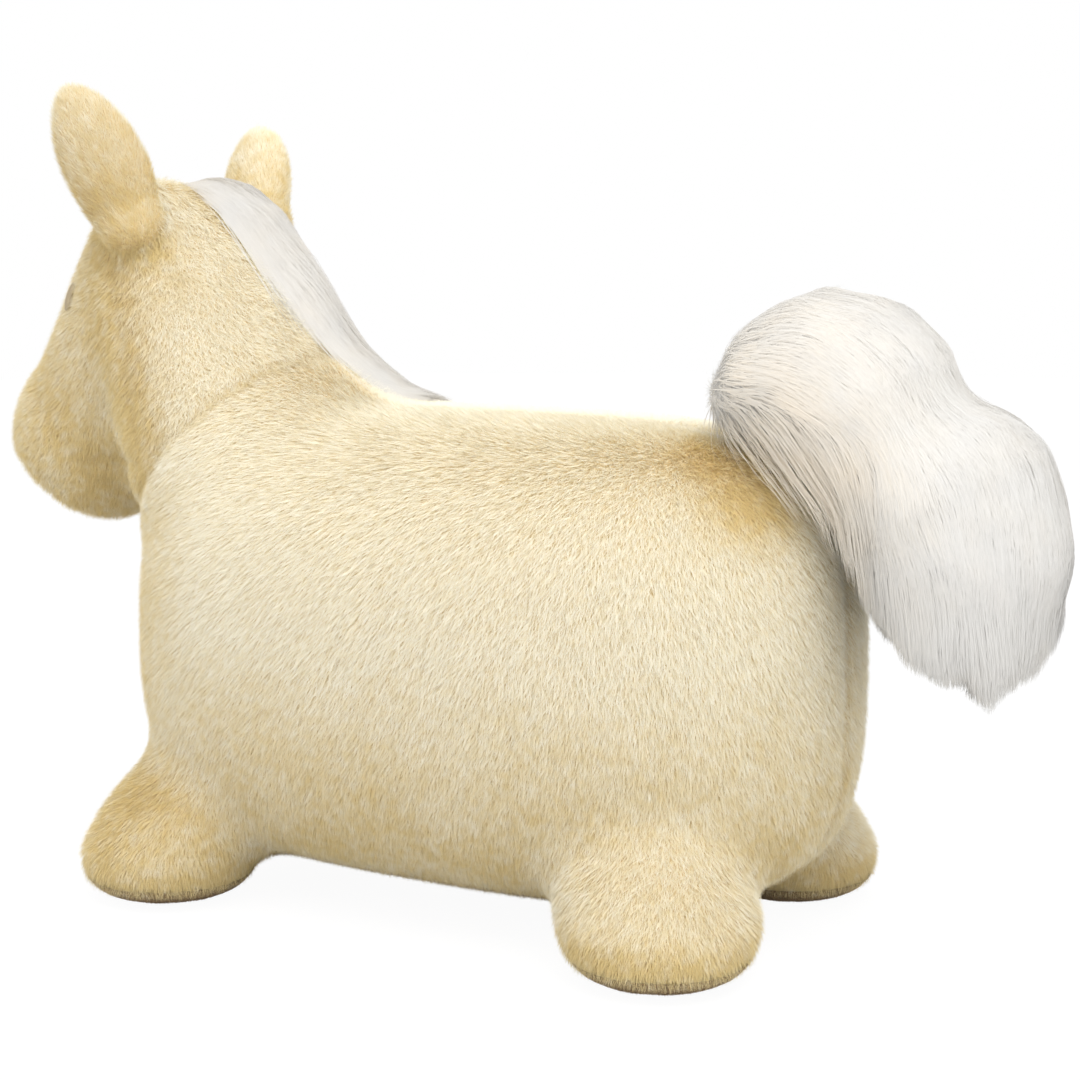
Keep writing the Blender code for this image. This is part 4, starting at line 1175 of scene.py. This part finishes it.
def ribbons(name, paths, facings, width, warmth_and_painted_light, upward, rng):
    """Long hairs: ribbons that follow their paths and narrow to a point."""
    count, stations = paths.shape[:2]
    along = unit(np.gradient(paths, axis=1))
    across = unit(np.cross(along, facings))
    up = unit(np.cross(across, along))
    roll = rng.uniform(-0.3, 0.3, (count, 1, 1))
    side = across * np.cos(roll) + up * np.sin(roll)
    share = np.linspace(0, 1, stations)
    taper = np.minimum(1, 0.3 + 3 * share) * np.sqrt(np.clip(1 - share**4, 0, 1))
    half = 0.5 * width[:, None, None] * taper[None, :, None] * side
    pairs = np.stack([paths - half, paths + half], 2)[:, :-1].reshape(count, -1, 3)
    points = np.concatenate([pairs, paths[:, -1:]], 1)
    own = np.cross(side, along)
    shown = unit(facings + 0.15 * own + np.array((0.0, 0.0, upward)))
    shown = np.concatenate([np.repeat(shown[:, :-1], 2, axis=1), shown[:, -1:]], 1)
    each = points.shape[1]
    quads = [(2 * s, 2 * s + 1, 2 * s + 3, 2 * s + 2) for s in range(stations - 2)]
    last = (2 * stations - 4, 2 * stations - 3, 2 * stations - 2)
    corners = np.array([c for quad in quads for c in quad] + list(last), np.int32)
    sizes = np.array([4] * len(quads) + [3], np.int32)
    loops = (corners[None] + np.arange(count)[:, None] * each).ravel()
    totals = np.tile(sizes, count)
    mesh = bpy.data.meshes.new(name)
    mesh.vertices.add(count * each)
    mesh.vertices.foreach_set("co", points.ravel())
    mesh.loops.add(len(loops))
    mesh.loops.foreach_set("vertex_index", loops)
    mesh.polygons.add(len(totals))
    mesh.polygons.foreach_set("loop_start", np.concatenate([[0], np.cumsum(totals)[:-1]]))
    mesh.update(calc_edges=True)
    spread = np.concatenate([np.repeat(share[:-1], 2), share[-1:]])
    tone = np.repeat(rng.random(count), each)
    mesh.shade_smooth()
    mesh.normals_split_custom_set_from_vertices(shown.reshape(-1, 3))
    # The tint carries warm colour and painted light into the hair's colour.
    store(mesh, along=np.tile(spread, count), tone=tone, gold=np.repeat(warmth_and_painted_light, each))
    mesh.materials.append(WHITE_HAIR)
    return add_object(name, mesh)


def scattered(mesh, count, rng):
    """Points spread evenly over a mesh."""
    mesh.calc_loop_triangles()
    corners = rows_of(mesh.loop_triangles, "vertices", 3, np.int32)
    a, b, c = surface_of(mesh)[0][corners].transpose(1, 0, 2)
    area = np.linalg.norm(np.cross(b - a, c - a), axis=1)
    chosen_faces = rng.choice(len(area), count, p=area / area.sum())
    u, v = rng.random((2, count, 1))
    over = (u + v > 1)
    u, v = np.where(over, 1 - u, u), np.where(over, 1 - v, v)
    a, b, c = a[chosen_faces], b[chosen_faces], c[chosen_faces]
    return a + u * (b - a) + v * (c - a)


def tail_axis():
    """The line that the tail's pile follows, through the middles of both lobes."""
    upper = [section[:2] for section in TAIL_RAISED_LOBE[:5]]
    lower = [section[:2] for section in TAIL_HANGING_LOBE[2:]]
    line = np.array([(0.0, y, z) for y, z in upper + lower]) + np.array(TO_ORIGIN)
    return line, unit(np.gradient(line, axis=0))


def tail_flow():
    line, tangents = tail_axis()

    def flow(points, facings):
        away = np.linalg.norm(points[:, None] - line[None], axis=2)
        weight = np.exp(-((away / 0.025) ** 2)) + 1e-9
        way = unit((weight[:, :, None] * tangents[None]).sum(1))
        fall = np.array((0.0, 0.0, -1.0))
        up = np.clip(facings[:, 2:], 0, 1)
        return way * (0.95 + 0.7 * up) + 0.6 * fall + 0.45 * eddies(points, 26.0)

    return flow


def creased(form):
    """The tail's form with a fold drawn in between its lobes."""
    points, normals = surface_of(form)
    fold = np.array(TAIL_FOLD) + (TO_ORIGIN.y, 0)
    away = np.linalg.norm(points[:, 1:] - fold, axis=1)
    depth = TAIL_FOLD_DEPTH * hollowed(away, TAIL_FOLD_REACH)
    reshape(form, points - normals * depth[:, None])
    return form


def tail_ends(points):
    """The height where hair that hangs at each point ends, with locks of uneven length."""
    across = points @ np.array((math.cos(VIEW_AZIMUTH), math.sin(VIEW_AZIMUTH), 0))
    low = np.interp(across, *zip(*TAIL_ENDS))
    uneven = np.array([noise.noise(Vector((x, y, 0)) * 75.0) for x, y, _ in points])
    return low + 0.009 * np.clip(uneven, -0.3, 1)


def dress_tail(body_tree, rng):
    """Long silky hair that streams over both lobes and hangs in wisps."""
    lobes = [loft(TAIL_RAISED_LOBE), loft(TAIL_HANGING_LOBE)]
    form = creased(plump(joined("tail_form", lobes), TAIL_VOXEL, 5, 1))
    tree = tree_of(form)
    flow = tail_flow()
    stations = 9

    def free(points, facings):
        return facings[:, 2] < -0.12

    for layer, count, depth, pull in TAIL_LAYERS:
        starts = scattered(form, count, rng)
        starts = starts[settle_on(tree, starts)[1][:, 2] > -0.5]
        starts = starts[starts[:, 2] > tail_ends(starts) + 0.015]
        count = len(starts)
        step = rng.uniform(0.060, 0.125, count) / (stations - 1)
        stray = 0.12 * rng.normal(size=(count, 3))
        paths, facings = traced(
            tree, starts, lambda near, facing: flow(near, facing) + stray, step, stations, free, body_tree
        )
        share = np.linspace(0, 1, stations)[None, :]
        deep = rng.uniform(*depth, (count, 1))
        level = -0.003 - deep + (0.005 + deep * 0.8) * np.minimum(1, share * 2.2)
        paths = gathered(paths + facings * level[:, :, None], 420, rng.uniform(0.0, pull, count), rng)
        wave = eddies(paths.reshape(-1, 3), 48.0).reshape(paths.shape)
        paths += 0.0030 * wave * share[:, :, None]
        ends = np.stack([tail_ends(paths[:, station]) for station in range(stations)], 1)
        uneven = 0.012 * rng.random((count, 1)) ** 2
        paths, facings = trimmed(paths, facings, ends + uneven)
        width = rng.uniform(0.00038, 0.00062, count)
        # Warm tint and painted light round the tail's root.
        warm_painted_light = 0.7 * near_spot(paths[:, 2], TAIL_WARM_PAINTED_LIGHT_SPOT, 0.058)
        piece = ribbons(f"tail_hair_{layer}", paths, facings, width, warm_painted_light, 0.45, rng)
        cover(piece, "tail_pile", "tail", TAIL_BEND)

    points, normals = surface_of(form)
    sunk = points - normals * 0.0030
    sunk[:, 2] = np.maximum(sunk[:, 2], tail_ends(sunk) + 0.012)
    store(form, comb=flow(points, normals), gold=np.zeros(len(points)))
    reshape(form, sunk)
    ground = furred("tail_ground", form, 80, WHITE_BACKING, WHITE_HAIR, **TAIL_GROUND)
    cover(ground, "tail_pile", "tail", TAIL_BEND)


def dress_mane(body_tree, rng):
    """Long hair from a root line left of the crest, swept back along it and down on the right."""
    count = MANE_STRANDS
    y = rng.uniform(MANE_ROOT[0][0], MANE_ROOT[-1][0], count)
    x = np.interp(y, *zip(*MANE_ROOT)) - MANE_ROOT_WIDTH * rng.random(count) ** 1.5
    x += rng.normal(0, 1, count) * np.where(rng.random(count) < 0.08, 0.0040, 0.0012)
    down = Vector((0, 0, -1))
    starts = [body_tree.ray_cast(Vector((*place, 0.6)) + TO_ORIGIN, down)[0] for place in zip(x, y)]

    stray = 0.10 * rng.normal(size=(count, 3))

    def flow(points, facings):
        over = np.clip(-points[:, :1] / 0.03, 0, 1)
        way = (1 - over) * (-0.30, 0.60, -0.80) + over * (-0.55, 0.35, -0.90)
        return way + 0.10 * eddies(points, 14.0) + stray

    stations = 11
    length = np.interp(y, (-0.18, -0.12, -0.062), (0.115, 0.090, 0.028)) * rng.uniform(0.75, 1.1, count)
    paths, facings = traced(body_tree, np.array(starts), flow, length / (stations - 1), stations)
    share = np.linspace(0, 1, stations)[None, :]
    beside = np.clip(-(paths[:, :, 0] + 0.025) / 0.03, 0, 1)
    height = np.interp(paths[:, :, 2], *zip(*MANE_HEIGHT)) * (1 - beside) + MANE_THICKNESS * beside
    root = np.interp(paths[:, :, 1] - TO_ORIGIN.y, *zip(*MANE_ROOT))
    inward = np.clip((root - paths[:, :, 0]) / 0.022, 0, 1)
    height *= inward * (2 - inward)
    layer = rng.uniform(0.1, 1.0, (count, 1))
    level = -0.002 + (0.002 + height * layer) * np.minimum(1, share * 4) - 0.003 * share**3
    level -= 0.0025 * (1 - inward)
    paths = gathered(paths + facings * level[:, :, None], 160, rng.uniform(0.05, 0.55, count), rng)
    facings = unit(facings + (1 - inward)[:, :, None] * (0.8, 0.3, 0.0))
    width = rng.uniform(0.0004, 0.0007, count)
    piece = ribbons("mane_hair", paths, facings, width, np.full(count, 0.15), 0.9, rng)
    cover(piece, "mane", "hopper")


def dress_eyes(body_tree):
    """Each eye is an oval of satin stitches laid side by side over a thin pad."""
    for side, sign in (("left", 1), ("right", -1)):
        facing = Vector((sign * EYE_FACING.x, EYE_FACING.y, EYE_FACING.z))
        across = Vector((0, 0, 1)).cross(facing).normalized()
        upward = facing.cross(across)
        centre = Vector((sign * EYE_PLACE.x, EYE_PLACE.y, EYE_PLACE.z)) + TO_ORIGIN
        bm = bmesh.new()
        for row in range(EYE_STITCHES):
            height = (row + 0.5) / EYE_STITCHES * 2 - 1
            reach = math.sqrt(1 - height * height)
            lines = []
            for lift, offset in ((0.0, -0.5), (0.0004, 0.0), (0.0, 0.5)):
                line = []
                for station in range(9):
                    share = station / 4 - 1
                    jitter = 0.03 * math.sin(row * 2.4)
                    spot = centre + across * (share * reach * EYE_HALF_WIDTH * (1 + jitter))
                    spot += upward * EYE_HALF_HEIGHT * (height + 2 * offset / EYE_STITCHES)
                    near, normal, _, _ = body_tree.find_nearest(spot)
                    pad = 0.0016 * (1 - (share * reach) ** 2 - 0.9 * height * height)
                    end = 0.0008 if abs(share) == 1 else 0.0
                    line.append(bm.verts.new(near + normal * (pad + lift - EYE_SINK - end)))
                lines.append(line)
            for low, high in zip(lines, lines[1:]):
                for step in range(8):
                    bm.faces.new((low[step], low[step + 1], high[step + 1], high[step]))
        bmesh.ops.recalc_face_normals(bm, faces=bm.faces)
        mesh = mesh_of(f"eye_{side}_stitches", bm)
        mesh.shade_smooth()
        mesh.materials.append(EYE_THREAD)
        cover(add_object(mesh.name, mesh), "eye_" + side, "hopper")


finish_frame()
noise.seed_set(7)
rng = np.random.default_rng(7)
ear_web = ball(EAR_WEB_RADIUS, Matrix.Translation(EAR_WEB_PLACE))
body_shapes = [barrel(), loft(NECK_SECTIONS), loft(HEAD_SECTIONS), ear_web]
body_form = plump(joined("body_form", body_shapes), BODY_VOXEL, BODY_SMOOTHING)
leg_forms = make_leg_forms()
ear_forms = {side: plump(joined("ear_" + side, ear_shapes(side)), EAR_VOXEL, 5, 1) for side in EAR_PIVOT}
body_tree = tree_of(body_form)
dress_body(body_form, leg_forms, ear_forms)
dress_soles(leg_forms)
dress_ears(ear_forms, body_tree)
dress_tail(body_tree, rng)
dress_mane(body_tree, rng)
dress_eyes(body_tree)


def make_camera():
    """A long lens at the height and the angle of the photograph's."""
    data = bpy.data.cameras.new("photo_camera")
    data.lens = LENS_MM
    data.sensor_width = SENSOR_MM
    data.clip_start = 0.05
    camera = add_object("photo_camera", data)
    a, e = VIEW_AZIMUTH, VIEW_ELEVATION
    back = Vector((math.sin(a) * math.cos(e), -math.cos(a) * math.cos(e), math.sin(e)))
    right = Vector((math.cos(a), math.sin(a), 0))
    turn = Matrix((right, back.cross(right), back)).transposed().to_4x4()
    camera.matrix_world = Matrix.Translation(CAMERA_PLACE) @ turn
    bpy.context.scene.camera = camera


def area_light(name, place, target, size, watts):
    data = bpy.data.lights.new(name, "AREA")
    data.shape = "DISK"
    data.size = size
    data.energy = watts
    lamp = add_object(name, data)
    way = (Vector(place) - Vector(target)).to_track_quat("Z", "Y")
    lamp.matrix_world = Matrix.Translation(place) @ way.to_matrix().to_4x4()


def make_studio():
    """A white floor and sky, with a broad light overhead."""
    bpy.context.scene.view_settings.view_transform = "Standard"
    world = bpy.data.worlds.new("studio")
    bpy.context.scene.world = world
    world.use_nodes = True
    tree = world.node_tree
    tree.nodes.clear()
    path = add_node(tree, "ShaderNodeLightPath")
    seen = maths(tree, "MAXIMUM", path.outputs["Is Camera Ray"], path.outputs["Is Glossy Ray"])
    strength = maths(tree, "MULTIPLY_ADD", seen, 1.0 - SKY_STRENGTH, SKY_STRENGTH)
    sky = add_node(tree, "ShaderNodeBackground", {"Color": (1, 1, 1, 1), "Strength": strength})
    out = tree.nodes.new("ShaderNodeOutputWorld")
    tree.links.new(sky.outputs[0], out.inputs[0])
    area_light("overhead", (0.55, 0.60, 1.6), (0, 0, 0.15), 1.5, KEY_WATTS)
    area_light("fill", (1.0, -0.9, 0.6), (0, 0, 0.2), 1.2, FILL_WATTS)
    area_light("rear_fill", (0.7, 1.3, 0.4), (0, 0.2, 0.2), 1.2, REAR_WATTS)

    bm = bmesh.new()
    bmesh.ops.create_circle(bm, cap_ends=True, segments=96, radius=4.0)
    floor = add_object("floor", mesh_of("floor", bm))
    made, tree, shader = new_material("white_floor", 0.9)
    shader.inputs["Base Color"].default_value = (0.62, 0.62, 0.62, 1)
    path = add_node(tree, "ShaderNodeLightPath")
    white = add_node(tree, "ShaderNodeEmission", {"Color": (1, 1, 1, 1), "Strength": 1.08})
    share = maths(tree, "MULTIPLY", path.outputs["Is Camera Ray"], 0.88)
    mixed = add_node(
        tree, "ShaderNodeMixShader", {0: share, 1: shader.outputs[0], 2: white.outputs[0]}
    )
    out = tree.nodes["Material Output"]
    tree.links.new(mixed.outputs[0], out.inputs[0])
    floor.data.materials.append(made)


make_camera()
make_studio()
